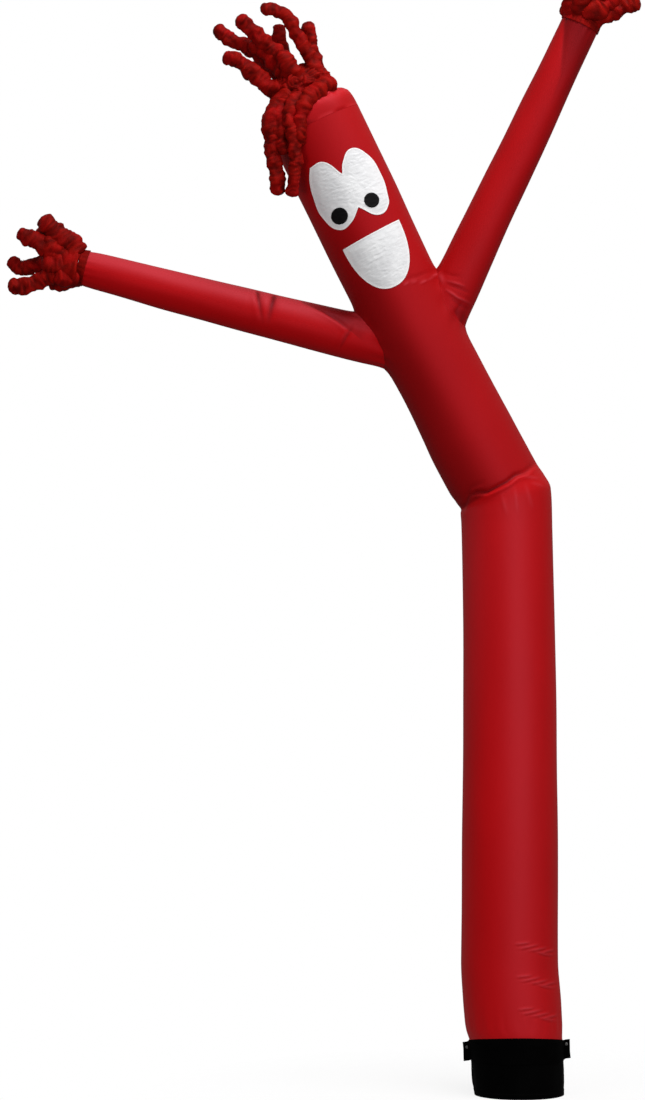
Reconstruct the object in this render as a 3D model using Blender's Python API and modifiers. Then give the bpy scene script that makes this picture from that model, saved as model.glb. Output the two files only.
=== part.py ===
"""Inflatable air dancer: a nylon tube with two arms, a face and ruched fringes, on a canvas cuff.

Metres, +Z up, front towards -Y. The origin is the centre of the cuff's bottom hem, where the
sleeve is pushed over the outlet ring of a fan. The whole figure leans in the XZ plane.
"""

import math
from collections import namedtuple

import bmesh
import bpy
from mathutils import Matrix, Vector

# Driving dimensions
GAP = 0.0003  # clearance between neighbouring pieces
NYLON = 0.002  # wall of the inflated tubes
CANVAS = 0.0025  # wall of the cuff
WEBBING = 0.003  # strap halves and the wrist bands of the fringes
PATCH = 0.001  # sewn-on face patches
BODY_SIDES = 28  # facets round the body, the cuff and the strap
ARM_SIDES = 18

# A ring of a tube: centre (x, z), lean of its axis to the left in degrees, radius, and how deep
# a crease draws it in at the front and back, fading to nothing on the right.
Ring = namedtuple("Ring", "x z lean radius crease", defaults=(0.0,))
CREASE_SKEW = 0.8  # how much of the fading is held back until past the middle

CUFF_HEIGHT = 0.280
CUFF_RINGS = (
    Ring(0.000, 0.000, 0, 0.2314),
    Ring(-0.006, 0.073, 0, 0.2375),
    Ring(-0.010, 0.166, 0, 0.2400),
    Ring(-0.012, 0.200, 0, 0.2410),
    Ring(-0.0167, 0.282, 0, 0.2441),
    Ring(-0.020, 0.300, 0, 0.2440 + CANVAS + GAP),
    Ring(-0.0245, 0.330, 0, 0.2485 + CANVAS + GAP),
)
CUFF_RISE = 0.16  # how much higher the cuff's top gets towards the front, per metre
CUFF_CREST = 0.004  # how far back of the middle that rise starts
TUCK = CANVAS + GAP  # how much smaller the body is where it is sewn into the cuff

BODY_RINGS = (
    Ring(-0.012, 0.200, 0, 0.2410 - TUCK),
    Ring(-0.0167, 0.282, 0, 0.2441 - TUCK),
    Ring(-0.020, 0.300, 0, 0.2440),
    Ring(-0.026, 0.340, 0, 0.2500),
    Ring(-0.030, 0.385, 0, 0.2522),
    Ring(-0.037, 0.490, 0, 0.2545),
    Ring(-0.050, 0.697, 0, 0.2522),
    Ring(-0.048, 1.217, 0, 0.2496),
    Ring(-0.050, 2.049, 0, 0.2420),
    Ring(-0.060, 2.777, 0, 0.2368),
    Ring(-0.064, 2.960, 0, 0.2366),
    Ring(-0.067, 3.040, 6, 0.2385),
    Ring(-0.069, 3.094, 14, 0.2400),
    Ring(-0.0980, 3.1467, 19, 0.2380),
    Ring(-0.1215, 3.1807, 23, 0.2340, 0.016),
    Ring(-0.1422, 3.2135, 26, 0.2350),
    Ring(-0.1715, 3.2660, 28, 0.2355),
    Ring(-0.2426, 3.3996, 28, 0.2351),
    Ring(-0.295, 3.505, 28, 0.2312),
    Ring(-0.401, 3.713, 28, 0.2265),
    Ring(-0.568, 4.020, 27, 0.2290),
    Ring(-0.669, 4.230, 25.75, 0.2345),
    Ring(-0.771, 4.441, 25.75, 0.2390),
    Ring(-0.869, 4.649, 25.75, 0.2430),
    Ring(-0.972, 4.858, 25.75, 0.2436),
    Ring(-1.059, 5.037, 25.75, 0.2436),
)
SHOULDER_RINGS = BODY_RINGS[17:23]
HEAD_RINGS = BODY_RINGS[20:]

# The crown: an inflated disc with a rounded edge, a superellipse in profile
CAP_HEIGHT = 0.145
CAP_POWER = 3.5
CAP_STEPS = 4
POLE_SHARE = 0.35  # the last ring stops this share of a step short of the pole
POLE_DEPTH = 0.06  # the last ring lies within this height of the crown's top

ARM_LEFT_RINGS = (
    Ring(-0.490, 3.864, 79.5, 0.1250),
    Ring(-0.771, 3.916, 77.0, 0.1240),
    Ring(-1.140, 4.007, 76.0, 0.1184),
    Ring(-1.660, 4.137, 75.5, 0.1084),
    Ring(-2.180, 4.274, 75.3, 0.0955),
    Ring(-2.263, 4.295, 75.3, 0.0890),
)
ARM_RIGHT_RINGS = (
    Ring(-0.490, 3.864, -25.5, 0.1300),
    Ring(-0.360, 4.139, -25.5, 0.1290),
    Ring(-0.266, 4.337, -25.5, 0.1220),
    Ring(-0.118, 4.649, -25.5, 0.1150),
    Ring(0.033, 4.961, -25.5, 0.1100),
    Ring(0.230, 5.377, -25.5, 0.1010),
    Ring(0.320, 5.564, -25.5, 0.0980),
)

# Face patches, as (across, down) from the head's datum on its axis; down runs along the head.
FACE_DATUM = Vector((-1.080, 0.0, 5.061))
FACE_LEAN = 25.75
PRISM_NEAR = 0.02  # where an outline's prism starts and ends, forwards of the head's axis
PRISM_FAR = 0.40
# The eye patch, clockwise from the notch between the lobes' tops; 1 marks a sharp corner.
EYE_OUTLINE = (
    (0.012, 0.338, 1),
    (0.045, 0.280, 0),
    (0.111, 0.238, 0),
    (0.175, 0.297, 0),
    (0.196, 0.425, 0),
    (0.182, 0.523, 0),
    (0.160, 0.582, 0),
    (0.100, 0.611, 0),
    (0.013, 0.530, 1),
    (-0.055, 0.585, 0),
    (-0.118, 0.593, 0),
    (-0.174, 0.490, 0),
    (-0.172, 0.385, 0),
    (-0.151, 0.290, 0),
    (-0.122, 0.236, 1),
    (-0.054, 0.237, 0),
)
PUPILS = {"pupil_left": (-0.0927, 0.5265, 0.043), "pupil_right": (0.0909, 0.5248, 0.039)}
PUPIL_SIDES = 24
MOUTH_CENTRE = (0.0119, 0.679)  # middle of its straight top edge
MOUTH_HALF_WIDTH = 0.164
MOUTH_DEPTH = 0.303
MOUTH_POWER = 2.2
MOUTH_TILT = 0.049  # how much higher the top edge gets to the right, per metre across
MOUTH_STEPS = 16

# Fringes: a row for each strand, with its radius and the points (x, y, z) that it passes.
Strand = namedtuple("Strand", "radius points")
HAIR_STRANDS = (
    Strand(
        0.030,
        (
            (-1.05, -0.03, 5.24), (-1.075, -0.03, 5.36), (-1.123, -0.03, 5.445), (-1.165, -0.03, 5.525),
            (-1.20, -0.03, 5.590), (-1.255, -0.03, 5.628), (-1.347, -0.03, 5.646),
        ),
    ),
    Strand(
        0.034,
        (
            (-0.990, 0.00, 5.205), (-1.037, 0.00, 5.28), (-1.062, 0.00, 5.37), (-1.082, 0.01, 5.46),
            (-1.101, 0.02, 5.580),
        ),
    ),
    Strand(0.030, ((-1.17, 0.04, 5.25), (-1.225, 0.05, 5.40), (-1.247, 0.06, 5.49), (-1.246, 0.06, 5.572))),
    Strand(
        0.034,
        (
            (-1.16, -0.04, 5.26), (-1.25, -0.05, 5.385), (-1.335, -0.06, 5.475), (-1.41, -0.07, 5.545),
            (-1.466, -0.08, 5.592),
        ),
    ),
    Strand(
        0.034,
        (
            (-1.18, 0.02, 5.24), (-1.31, 0.03, 5.385), (-1.42, 0.05, 5.450), (-1.50, 0.06, 5.490),
            (-1.588, 0.06, 5.556),
        ),
    ),
    Strand(
        0.034,
        (
            (-1.18, -0.05, 5.20), (-1.29, -0.07, 5.222), (-1.37, -0.09, 5.288), (-1.45, -0.10, 5.358),
            (-1.540, -0.12, 5.380),
        ),
    ),
    Strand(
        0.034,
        (
            (-1.20, -0.10, 5.16), (-1.262, -0.17, 5.10), (-1.288, -0.19, 5.03), (-1.282, -0.19, 4.90),
            (-1.262, -0.18, 4.77), (-1.250, -0.17, 4.655),
        ),
    ),
    Strand(
        0.030,
        (
            (-1.16, -0.12, 5.17), (-1.19, -0.22, 5.08), (-1.175, -0.24, 4.95), (-1.158, -0.24, 4.86),
            (-1.168, -0.22, 4.76), (-1.180, -0.20, 4.645),
        ),
    ),
    Strand(0.032, ((-1.16, 0.10, 5.18), (-1.27, 0.20, 5.10), (-1.29, 0.23, 4.96), (-1.26, 0.24, 4.82))),
    Strand(0.032, ((-1.14, 0.06, 5.22), (-1.22, 0.13, 5.32), (-1.36, 0.19, 5.36), (-1.44, 0.22, 5.31))),
    Strand(0.036, ((-1.17, -0.03, 5.24), (-1.25, -0.03, 5.34), (-1.33, -0.02, 5.42), (-1.40, -0.01, 5.47))),
    Strand(0.036, ((-1.12, -0.06, 5.24), (-1.19, -0.09, 5.32), (-1.25, -0.09, 5.41))),
    Strand(
        0.034,
        (
            (-1.19, -0.09, 5.17), (-1.235, -0.16, 5.11), (-1.240, -0.20, 5.02), (-1.232, -0.20, 4.93),
            (-1.225, -0.20, 4.86),
        ),
    ),
    Strand(
        0.034,
        (
            (-0.985, -0.11, 5.235), (-1.050, -0.18, 5.190), (-1.118, -0.230, 5.118),
            (-1.140, -0.240, 5.00), (-1.148, -0.225, 4.90),
        ),
    ),
)
HAIR_HEADING = (0.155, 0.130, 0.120)  # half sizes of the gathered heading on the crown
HAIR_HEADING_CENTRE = Vector((-1.150, -0.010, 5.215))
FULLNESS = 1.12  # how much the gathers widen a strand
SMOOTHED = 3  # strands with more points than this are smooth enough as they are
BASE_SWELL = 1.40  # a strand's radius where it is sewn on, as a share of its own
TIP_TAPER = 0.80

LEFT_HAND_STRANDS = (
    Strand(0.046, ((-2.303, -0.02, 4.350), (-2.350, -0.03, 4.415), (-2.420, -0.03, 4.485), (-2.482, -0.03, 4.560))),
    Strand(0.036, ((-2.303, 0.04, 4.335), (-2.410, 0.06, 4.420), (-2.515, 0.06, 4.500))),
    Strand(
        0.036,
        (
            (-2.303, -0.04, 4.310), (-2.420, -0.06, 4.375), (-2.520, -0.07, 4.435),
            (-2.605, -0.07, 4.475),
        ),
    ),
    Strand(
        0.033,
        (
            (-2.303, 0.010, 4.300), (-2.470, 0.020, 4.325), (-2.580, 0.025, 4.295),
            (-2.662, 0.020, 4.335),
        ),
    ),
    Strand(
        0.034,
        (
            (-2.303, -0.03, 4.265), (-2.430, -0.05, 4.255), (-2.535, -0.06, 4.205),
            (-2.655, -0.07, 4.190),
        ),
    ),
    Strand(0.036, ((-2.303, 0.03, 4.252), (-2.370, 0.05, 4.228), (-2.450, 0.07, 4.228))),
    Strand(0.034, ((-2.303, -0.05, 4.250), (-2.345, -0.07, 4.235), (-2.420, -0.08, 4.232))),
    Strand(0.040, ((-2.303, -0.04, 4.325), (-2.370, -0.06, 4.345), (-2.440, -0.06, 4.400), (-2.470, -0.05, 4.450))),
    Strand(0.040, ((-2.303, -0.05, 4.285), (-2.380, -0.07, 4.300), (-2.480, -0.06, 4.330))),
    Strand(0.038, ((-2.303, 0.05, 4.290), (-2.390, 0.06, 4.300), (-2.490, 0.05, 4.340))),
)
RIGHT_HAND_STRANDS = (
    Strand(
        0.036,
        (
            (0.362, -0.02, 5.600), (0.430, -0.04, 5.605), (0.520, -0.05, 5.635),
            (0.622, -0.06, 5.685),
        ),
    ),
    Strand(0.036, ((0.358, 0.03, 5.600), (0.450, 0.05, 5.650), (0.560, 0.07, 5.735))),
    Strand(0.038, ((0.350, -0.04, 5.605), (0.400, -0.07, 5.690), (0.470, -0.08, 5.788))),
    Strand(0.036, ((0.335, 0.04, 5.608), (0.355, 0.06, 5.705), (0.345, 0.07, 5.810))),
    Strand(
        0.036,
        (
            (0.312, -0.03, 5.616), (0.272, -0.05, 5.652), (0.262, -0.06, 5.720),
            (0.240, -0.07, 5.770),
        ),
    ),
    Strand(0.032, ((0.300, 0.02, 5.625), (0.262, 0.04, 5.635), (0.230, 0.06, 5.668))),
    Strand(0.040, ((0.356, -0.05, 5.603), (0.385, -0.07, 5.625), (0.455, -0.06, 5.665), (0.500, -0.05, 5.720))),
    Strand(0.040, ((0.328, -0.05, 5.612), (0.320, -0.08, 5.660), (0.330, -0.08, 5.730))),
)
WRIST_BAND = (-0.012, 0.0, 0.030)  # where a fringe's band starts and ends, along from the arm's end
BAND_EASE = 0.003  # how much wider the band is where the arm is wider than its end

# Strap round the cuff's top, with an ear at each side
STRAP_LOW = 0.180
STRAP_HIGH = 0.279
EAR_REACH = 0.032
EAR_TILT = 0.016  # how much higher the right ear sits than the left
RIVET_RADIUS = 0.006
RIVET_HEAD_RADIUS = 0.0085
RIVET_HEAD = 0.002
RIVET_INSET = 0.019  # from the ear's outer edge
RIVET_DROP = 0.026  # from the ear's top
RIVET_SIDES = 12
HOLE_LENGTH = 0.04
CUTTER_OVERRUN = 0.015  # how far cutters reach past what they cut

COLOURS = {
    "nylon_red": ((0.36, 0.010, 0.012), 0.45, 0.0),
    "nylon_white": ((0.74, 0.74, 0.74), 0.45, 0.0),
    "nylon_black": ((0.008, 0.008, 0.008), 0.5, 0.0),
    "fringe_red": ((0.17, 0.006, 0.004), 0.7, 0.0),
    "canvas_black": ((0.006, 0.006, 0.006), 0.8, 0.0),
    "webbing_black": ((0.005, 0.005, 0.005), 0.6, 0.0),
    "rivet_steel": ((0.50, 0.50, 0.50), 0.35, 1.0),
}


def clear_scene():
    for obj in list(bpy.data.objects):
        bpy.data.objects.remove(obj, do_unlink=True)


def new_collection(name):
    collection = bpy.data.collections.new(name)
    bpy.context.scene.collection.children.link(collection)
    return collection


def material(name):
    found = bpy.data.materials.get(name)
    if found:
        return found
    colour, roughness, metallic = COLOURS[name]
    made = bpy.data.materials.new(name)
    made.use_nodes = True
    shader = made.node_tree.nodes["Principled BSDF"]
    shader.inputs["Base Color"].default_value = (*colour, 1.0)
    shader.inputs["Roughness"].default_value = roughness
    shader.inputs["Metallic"].default_value = metallic
    return made


def add_object(name, bm, collection, finish=None):
    """An object from a bmesh: a part with its finish, or a cutter without one."""
    mesh = bpy.data.meshes.new(name)
    bm.to_mesh(mesh)
    bm.free()
    mesh.shade_smooth()
    mesh.set_sharp_from_angle(angle=math.radians(40))
    obj = bpy.data.objects.new(name, mesh)
    collection.objects.link(obj)
    if finish:
        mesh.materials.append(material(finish))
    else:
        obj.hide_render = True
        obj.display_type = "WIRE"
    return obj


def boolean(obj, operation, other, solver="EXACT"):
    modifier = obj.modifiers.new(f"{operation.lower()}_{other.name}", "BOOLEAN")
    modifier.operation = operation
    modifier.solver = solver
    modifier.object = other


def thicken(obj, thickness, outward=False):
    wall = obj.modifiers.new("wall", "SOLIDIFY")
    wall.thickness = thickness
    wall.offset = 1.0 if outward else -1.0


def ring_frame(ring):
    tilt = Matrix.Rotation(-math.radians(ring.lean), 4, "Y")
    return Matrix.Translation((ring.x, 0.0, ring.z)) @ tilt


def add_ring(bm, ring, sides, grow):
    """One closed loop of edges, drawn in at its crease."""
    frame = ring_frame(ring)
    made = bmesh.ops.create_circle(bm, segments=sides, radius=ring.radius + grow, matrix=frame)
    back = frame.inverted()
    for vert in made["verts"]:
        local = back @ vert.co
        turn = local.x / (ring.radius + grow)
        draw = 1.0 - ring.crease * (1.0 - turn) * (1.0 + CREASE_SKEW * turn) / ring.radius
        vert.co = frame @ (local * draw)
    return list({edge for vert in made["verts"] for edge in vert.link_edges})


def loft(rings, sides, grow=0.0, closed=False):
    """A tube through the rings, each grown by the same amount, open or with its ends filled."""
    bm = bmesh.new()
    loops = [add_ring(bm, ring, sides, grow) for ring in rings]
    for lower, upper in zip(loops, loops[1:]):
        bmesh.ops.bridge_loops(bm, edges=lower + upper)
    if closed:
        bmesh.ops.contextual_create(bm, geom=loops[0])
        bmesh.ops.contextual_create(bm, geom=loops[-1])
    bmesh.ops.recalc_face_normals(bm, faces=bm.faces)
    bm.faces.ensure_lookup_table()
    side = next(face for face in bm.faces if len(face.verts) == 4)
    start = Vector((rings[0].x, 0.0, rings[0].z))
    axis = ring_frame(rings[0]).to_3x3() @ Vector((0.0, 0.0, 1.0))
    out = side.calc_center_median() - start
    out -= axis * out.dot(axis)
    if side.normal.dot(out) < 0:
        bmesh.ops.reverse_faces(bm, faces=bm.faces)
    return bm


def cap_rings(lift=0.0):
    """The crown's rings, from the body's top edge to a small flat pole."""
    top = BODY_RINGS[-1]
    up = ring_frame(top).to_3x3() @ Vector((0.0, 0.0, 1.0))
    rings = []
    for step in range(CAP_STEPS + 1):
        turn = 0.5 * math.pi * step / (CAP_STEPS + POLE_SHARE)
        radius = top.radius * math.cos(turn) ** (2 / CAP_POWER)
        rise = CAP_HEIGHT * math.sin(turn) ** (2 / CAP_POWER) + lift
        rings.append(Ring(top.x + up.x * rise, top.z + up.z * rise, top.lean, radius))
    return rings


def smooth_path(points, per_span):
    """Points along a Catmull-Rom curve through the given ones."""
    ends = [2 * points[0] - points[1], *points, 2 * points[-1] - points[-2]]
    path = []
    for a, b, c, d in zip(ends, ends[1:], ends[2:], ends[3:]):
        for step in range(per_span):
            t = step / per_span
            curve = (c - a) * t
            curve += (2 * a - 5 * b + 4 * c - d) * t**2
            curve += (3 * b - a - 3 * c + d) * t**3
            path.append(b + 0.5 * curve)
    return [*path, points[-1]]


def curve_to_mesh(curve_object, collection):
    """The curve's evaluated mesh, with its caps welded, in place of the curve."""
    graph = bpy.context.evaluated_depsgraph_get()
    mesh = bpy.data.meshes.new_from_object(curve_object.evaluated_get(graph))
    bm = bmesh.new()
    bm.from_mesh(mesh)
    bmesh.ops.remove_doubles(bm, verts=bm.verts, dist=0.00001)
    bmesh.ops.recalc_face_normals(bm, faces=bm.faces)
    bmesh.ops.transform(bm, matrix=curve_object.matrix_world, verts=bm.verts)
    name = curve_object.name
    bpy.data.objects.remove(curve_object, do_unlink=True)
    bpy.data.meshes.remove(mesh)
    return add_object(name, bm, collection)


def strand_solid(name, strand, collection):
    """A fringe strand: a round tube along a smooth path, narrower at its tip."""
    curve = bpy.data.curves.new(name, "CURVE")
    curve.dimensions = "3D"
    curve.bevel_depth = strand.radius * FULLNESS
    curve.bevel_resolution = 2
    curve.use_fill_caps = True
    points = [Vector(point) for point in strand.points]
    path = points if len(points) > SMOOTHED else smooth_path(points, 2)
    spline = curve.splines.new("POLY")
    spline.points.add(len(path) - 1)
    for index, (point, place) in enumerate(zip(spline.points, path)):
        point.co = (*place, 1.0)
        point.radius = TIP_TAPER if index == len(path) - 1 else 1.0
    spline.points[0].radius = BASE_SWELL
    obj = bpy.data.objects.new(name, curve)
    collection.objects.link(obj)
    bpy.context.view_layer.update()
    return curve_to_mesh(obj, collection)


def face_frame():
    """Local X across the face, local Y up along the head, local Z forwards."""
    lean = Matrix.Rotation(-math.radians(FACE_LEAN), 4, "Y")
    stand = Matrix.Rotation(math.radians(90), 4, "X")
    return Matrix.Translation(FACE_DATUM) @ lean @ stand


def outline_prism(name, outline, collection):
    """A flat outline of (across, down, corner) rows, extruded through the front of the head."""
    curve = bpy.data.curves.new(name, "CURVE")
    curve.dimensions = "2D"
    curve.fill_mode = "BOTH"
    curve.resolution_u = 4
    curve.extrude = 0.5 * (PRISM_FAR - PRISM_NEAR)
    spline = curve.splines.new("BEZIER")
    spline.bezier_points.add(len(outline) - 1)
    spline.use_cyclic_u = True
    for point, (across, down, corner) in zip(spline.bezier_points, outline):
        point.co = (across, -down, 0.0)
        kind = "VECTOR" if corner else "AUTO"
        point.handle_left_type = kind
        point.handle_right_type = kind
    obj = bpy.data.objects.new(name, curve)
    obj.matrix_world = face_frame() @ Matrix.Translation((0.0, 0.0, 0.5 * (PRISM_NEAR + PRISM_FAR)))
    collection.objects.link(obj)
    bpy.context.view_layer.update()
    return curve_to_mesh(obj, collection)


def add_patch(name, prism, lift, finish, parts):
    """A skin over the head, lifted clear of what it is sewn on, inside the prism's outline."""
    patch = add_object(name, loft(HEAD_RINGS, BODY_SIDES, grow=lift), parts, finish)
    thicken(patch, PATCH, outward=True)
    boolean(patch, "INTERSECT", prism)


def add_face(parts, cutters):
    eyes = outline_prism("eye_outline", EYE_OUTLINE, cutters)
    add_patch("eyes", eyes, GAP, "nylon_white", parts)
    arc = [math.pi * step / MOUTH_STEPS for step in range(MOUTH_STEPS + 1)]
    shape = 2 / MOUTH_POWER
    outline = []
    for step, turn in enumerate(arc):
        across = MOUTH_HALF_WIDTH * math.copysign(abs(math.cos(turn)) ** shape, math.cos(turn))
        down = MOUTH_DEPTH * abs(math.sin(turn)) ** shape - MOUTH_TILT * across
        corner = step in (0, MOUTH_STEPS)
        outline.append((MOUTH_CENTRE[0] + across, MOUTH_CENTRE[1] + down, corner))
    mouth = outline_prism("mouth_outline", outline, cutters)
    add_patch("mouth", mouth, GAP, "nylon_white", parts)
    for name, (across, down, radius) in PUPILS.items():
        bm = bmesh.new()
        place = face_frame() @ Matrix.Translation((across, -down, 0.5 * (PRISM_NEAR + PRISM_FAR)))
        bmesh.ops.create_cone(
            bm,
            cap_ends=True,
            segments=PUPIL_SIDES,
            radius1=radius,
            radius2=radius,
            depth=PRISM_FAR - PRISM_NEAR,
            matrix=place,
        )
        prism = add_object(name + "_outline", bm, cutters)
        add_patch(name, prism, GAP + PATCH + GAP, "nylon_black", parts)


def add_body(parts, cutters):
    """The body with its arm holes, and the arms cut off along the body's skin."""
    body = add_object("body_tube", loft(BODY_RINGS, BODY_SIDES), parts, "nylon_red")
    thicken(body, NYLON)
    shoulders = loft(SHOULDER_RINGS, BODY_SIDES, grow=GAP, closed=True)
    skin = add_object("shoulder_core", shoulders, cutters)
    for name, rings in (("arm_left", ARM_LEFT_RINGS), ("arm_right", ARM_RIGHT_RINGS)):
        bore = loft(rings[:3], ARM_SIDES, grow=-NYLON, closed=True)
        boolean(body, "DIFFERENCE", add_object(name + "_bore", bore, cutters))
        arm = add_object(name, loft(rings, ARM_SIDES), parts, "nylon_red")
        thicken(arm, NYLON)
        boolean(arm, "DIFFERENCE", skin)
    cap = add_object("head_cap", loft(cap_rings(GAP), BODY_SIDES), parts, "nylon_red")
    close_pole(cap)
    thicken(cap, NYLON)


def close_pole(obj):
    """Fills the last open loop of a dome, the one furthest up its axis."""
    bm = bmesh.new()
    bm.from_mesh(obj.data)
    rim = [edge for edge in bm.edges if edge.is_boundary]
    highest = max(vert.co.z for edge in rim for vert in edge.verts)
    pole = [edge for edge in rim if min(vert.co.z for vert in edge.verts) > highest - POLE_DEPTH]
    filled = bmesh.ops.contextual_create(bm, geom=pole)["faces"]
    bmesh.ops.poke(bm, faces=filled)
    bm.to_mesh(obj.data)
    bm.free()


def join_strands(fringe, strands, cutters):
    """Unites the strands with the heading that they are sewn to. They cross each other in a dense
    tangle, on which the exact solver drops pieces and the manifold one doesn't."""
    for index, strand in enumerate(strands):
        solid = strand_solid(f"{fringe.name}_strand_{index}", strand, cutters)
        boolean(fringe, "UNION", solid, solver="MANIFOLD")


def add_hair(parts, cutters):
    """Strands on a gathered heading that follows the crown."""
    bm = bmesh.new()
    lean = Matrix.Rotation(-math.radians(FACE_LEAN), 4, "Y")
    place = Matrix.Translation(HAIR_HEADING_CENTRE) @ lean @ Matrix.Diagonal((*HAIR_HEADING, 1.0))
    bmesh.ops.create_uvsphere(bm, u_segments=14, v_segments=8, radius=1.0, matrix=place)
    hair = add_object("hair", bm, parts, "fringe_red")
    crown = [*HEAD_RINGS[:-1], *cap_rings(3 * GAP)]
    core = add_object("crown_core", loft(crown, BODY_SIDES, grow=GAP, closed=True), cutters)
    join_strands(hair, HAIR_STRANDS, cutters)
    boolean(hair, "DIFFERENCE", core)


def add_hand_fringe(name, arm_rings, strands, parts, cutters):
    """A band round the arm's end, and the strands sewn into the part of it past that end."""
    end = arm_rings[-1]
    axis = ring_frame(end).to_3x3() @ Vector((0.0, 0.0, 1.0))
    rings = []
    for along in WRIST_BAND:
        radius = end.radius + GAP + (BAND_EASE if along < 0 else 0.0)
        rings.append(Ring(end.x + axis.x * along, end.z + axis.z * along, end.lean, radius))
    fringe = add_object(name, loft(rings, ARM_SIDES), parts, "fringe_red")
    thicken(fringe, WEBBING, outward=True)
    join_strands(fringe, strands, cutters)


def box(name, centre, size, collection):
    bm = bmesh.new()
    place = Matrix.Translation(centre) @ Matrix.Diagonal((*size, 1.0))
    bmesh.ops.create_cube(bm, size=1.0, matrix=place)
    return add_object(name, bm, collection)


def add_cuff(parts, cutters):
    """The sleeve, with the level back half of its top edge lower than the rising front half."""
    cuff = add_object("cuff", loft(CUFF_RINGS, BODY_SIDES), parts, "canvas_black")
    thicken(cuff, CANVAS)
    reach = CUFF_RINGS[-1].radius - CUFF_RINGS[-1].x + CUTTER_OVERRUN
    high = CUFF_RINGS[-1].z + CUTTER_OVERRUN
    outline = (
        (-reach, CUFF_HEIGHT + CUFF_RISE * reach),
        (CUFF_CREST, CUFF_HEIGHT),
        (reach, CUFF_HEIGHT),
        (reach, high + CUTTER_OVERRUN),
        (-reach, high + CUTTER_OVERRUN),
    )
    bm = bmesh.new()
    side = [bm.verts.new((-reach, y, z)) for y, z in outline]
    face = bm.faces.new(side)
    pushed = bmesh.ops.extrude_face_region(bm, geom=[face])["geom"]
    moved = [item for item in pushed if isinstance(item, bmesh.types.BMVert)]
    bmesh.ops.translate(bm, verts=moved, vec=(2 * reach, 0.0, 0.0))
    bmesh.ops.recalc_face_normals(bm, faces=bm.faces)
    boolean(cuff, "DIFFERENCE", add_object("cuff_top_cut", bm, cutters))


def add_strap(parts, cutters):
    """Two half bands round the cuff, each ending in an ear, riveted together through the ears."""
    low, cuff_top = CUFF_RINGS[3:5]

    def ring_at(z):
        share = (z - low.z) / (cuff_top.z - low.z)
        radius = low.radius + (cuff_top.radius - low.radius) * share
        return Ring(low.x + (cuff_top.x - low.x) * share, z, 0, radius)

    rings = [ring_at(STRAP_LOW), ring_at(STRAP_HIGH)]
    longer = [ring_at(STRAP_LOW - CUTTER_OVERRUN), ring_at(STRAP_HIGH + CUTTER_OVERRUN)]
    core = add_object("strap_core", loft(longer, BODY_SIDES, grow=GAP, closed=True), cutters)
    middle = ring_at(0.5 * (STRAP_LOW + STRAP_HIGH))
    reach = WEBBING + EAR_REACH
    for name, front in (("strap_front", -1), ("strap_back", 1)):
        drum = loft(rings, BODY_SIDES, grow=GAP + WEBBING, closed=True)
        strap = add_object(name, drum, parts, "webbing_black")
        for side in (-1, 1):
            size = (reach + CUTTER_OVERRUN, 2 * WEBBING + GAP, STRAP_HIGH - STRAP_LOW)
            centre_x = middle.x + side * (middle.radius + GAP + reach - 0.5 * size[0])
            ear_name = f"{name}_ear_{'right' if side > 0 else 'left'}"
            ear = box(ear_name, (centre_x, 0.0, middle.z + side * 0.5 * EAR_TILT), size, cutters)
            boolean(strap, "UNION", ear)
        boolean(strap, "DIFFERENCE", core)
        other_half = (0.0, -front * (0.5 - 0.5 * GAP), middle.z)
        block = box(f"{name}_other_half", other_half, (1.0, 1.0, 1.0), cutters)
        boolean(strap, "DIFFERENCE", block)
    for side, name in ((-1, "rivet_left"), (1, "rivet_right")):
        outer = middle.radius + GAP + WEBBING + EAR_REACH - RIVET_INSET
        height = STRAP_HIGH - RIVET_DROP + side * 0.5 * EAR_TILT
        place = Vector((middle.x + side * outer, 0.0, height))
        add_rivet(name, place, parts, cutters)


def add_rivet(name, place, parts, cutters):
    """A shank through both ears with a low domed head at each end, and its hole in both straps."""
    half_grip = WEBBING + 0.5 * GAP + GAP
    profile = (
        (0.0, half_grip + RIVET_HEAD),
        (0.6 * RIVET_HEAD_RADIUS, half_grip + 0.85 * RIVET_HEAD),
        (RIVET_HEAD_RADIUS, half_grip + 0.3 * RIVET_HEAD),
        (RIVET_HEAD_RADIUS, half_grip),
        (RIVET_RADIUS, half_grip),
    )
    outline = [*profile, *((radius, -height) for radius, height in reversed(profile))]
    bm = bmesh.new()
    turn = Matrix.Translation(place) @ Matrix.Rotation(math.radians(90), 4, "X")
    verts = [bm.verts.new(Vector((radius, 0.0, height))) for radius, height in outline]
    edges = [bm.edges.new(pair) for pair in zip(verts, verts[1:])]
    bmesh.ops.spin(
        bm,
        geom=verts + edges,
        axis=(0, 0, 1),
        cent=(0, 0, 0),
        angle=math.tau,
        steps=RIVET_SIDES,
        use_merge=True,
    )
    bmesh.ops.remove_doubles(bm, verts=bm.verts, dist=0.00002)
    bmesh.ops.recalc_face_normals(bm, faces=bm.faces)
    bmesh.ops.transform(bm, matrix=turn, verts=bm.verts)
    add_object(name, bm, parts, "rivet_steel")
    bm = bmesh.new()
    bmesh.ops.create_cone(
        bm,
        cap_ends=True,
        segments=RIVET_SIDES,
        radius1=RIVET_RADIUS + GAP,
        radius2=RIVET_RADIUS + GAP,
        depth=HOLE_LENGTH,
        matrix=turn,
    )
    hole = add_object(name + "_hole", bm, cutters)
    for strap in ("strap_front", "strap_back"):
        boolean(bpy.data.objects[strap], "DIFFERENCE", hole)


def main():
    clear_scene()
    parts = new_collection("air_dancer")
    cutters = new_collection("cutters")
    add_body(parts, cutters)
    add_face(parts, cutters)
    add_hair(parts, cutters)
    add_hand_fringe("hand_fringe_left", ARM_LEFT_RINGS, LEFT_HAND_STRANDS, parts, cutters)
    add_hand_fringe("hand_fringe_right", ARM_RIGHT_RINGS, RIGHT_HAND_STRANDS, parts, cutters)
    add_cuff(parts, cutters)
    add_strap(parts, cutters)


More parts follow.
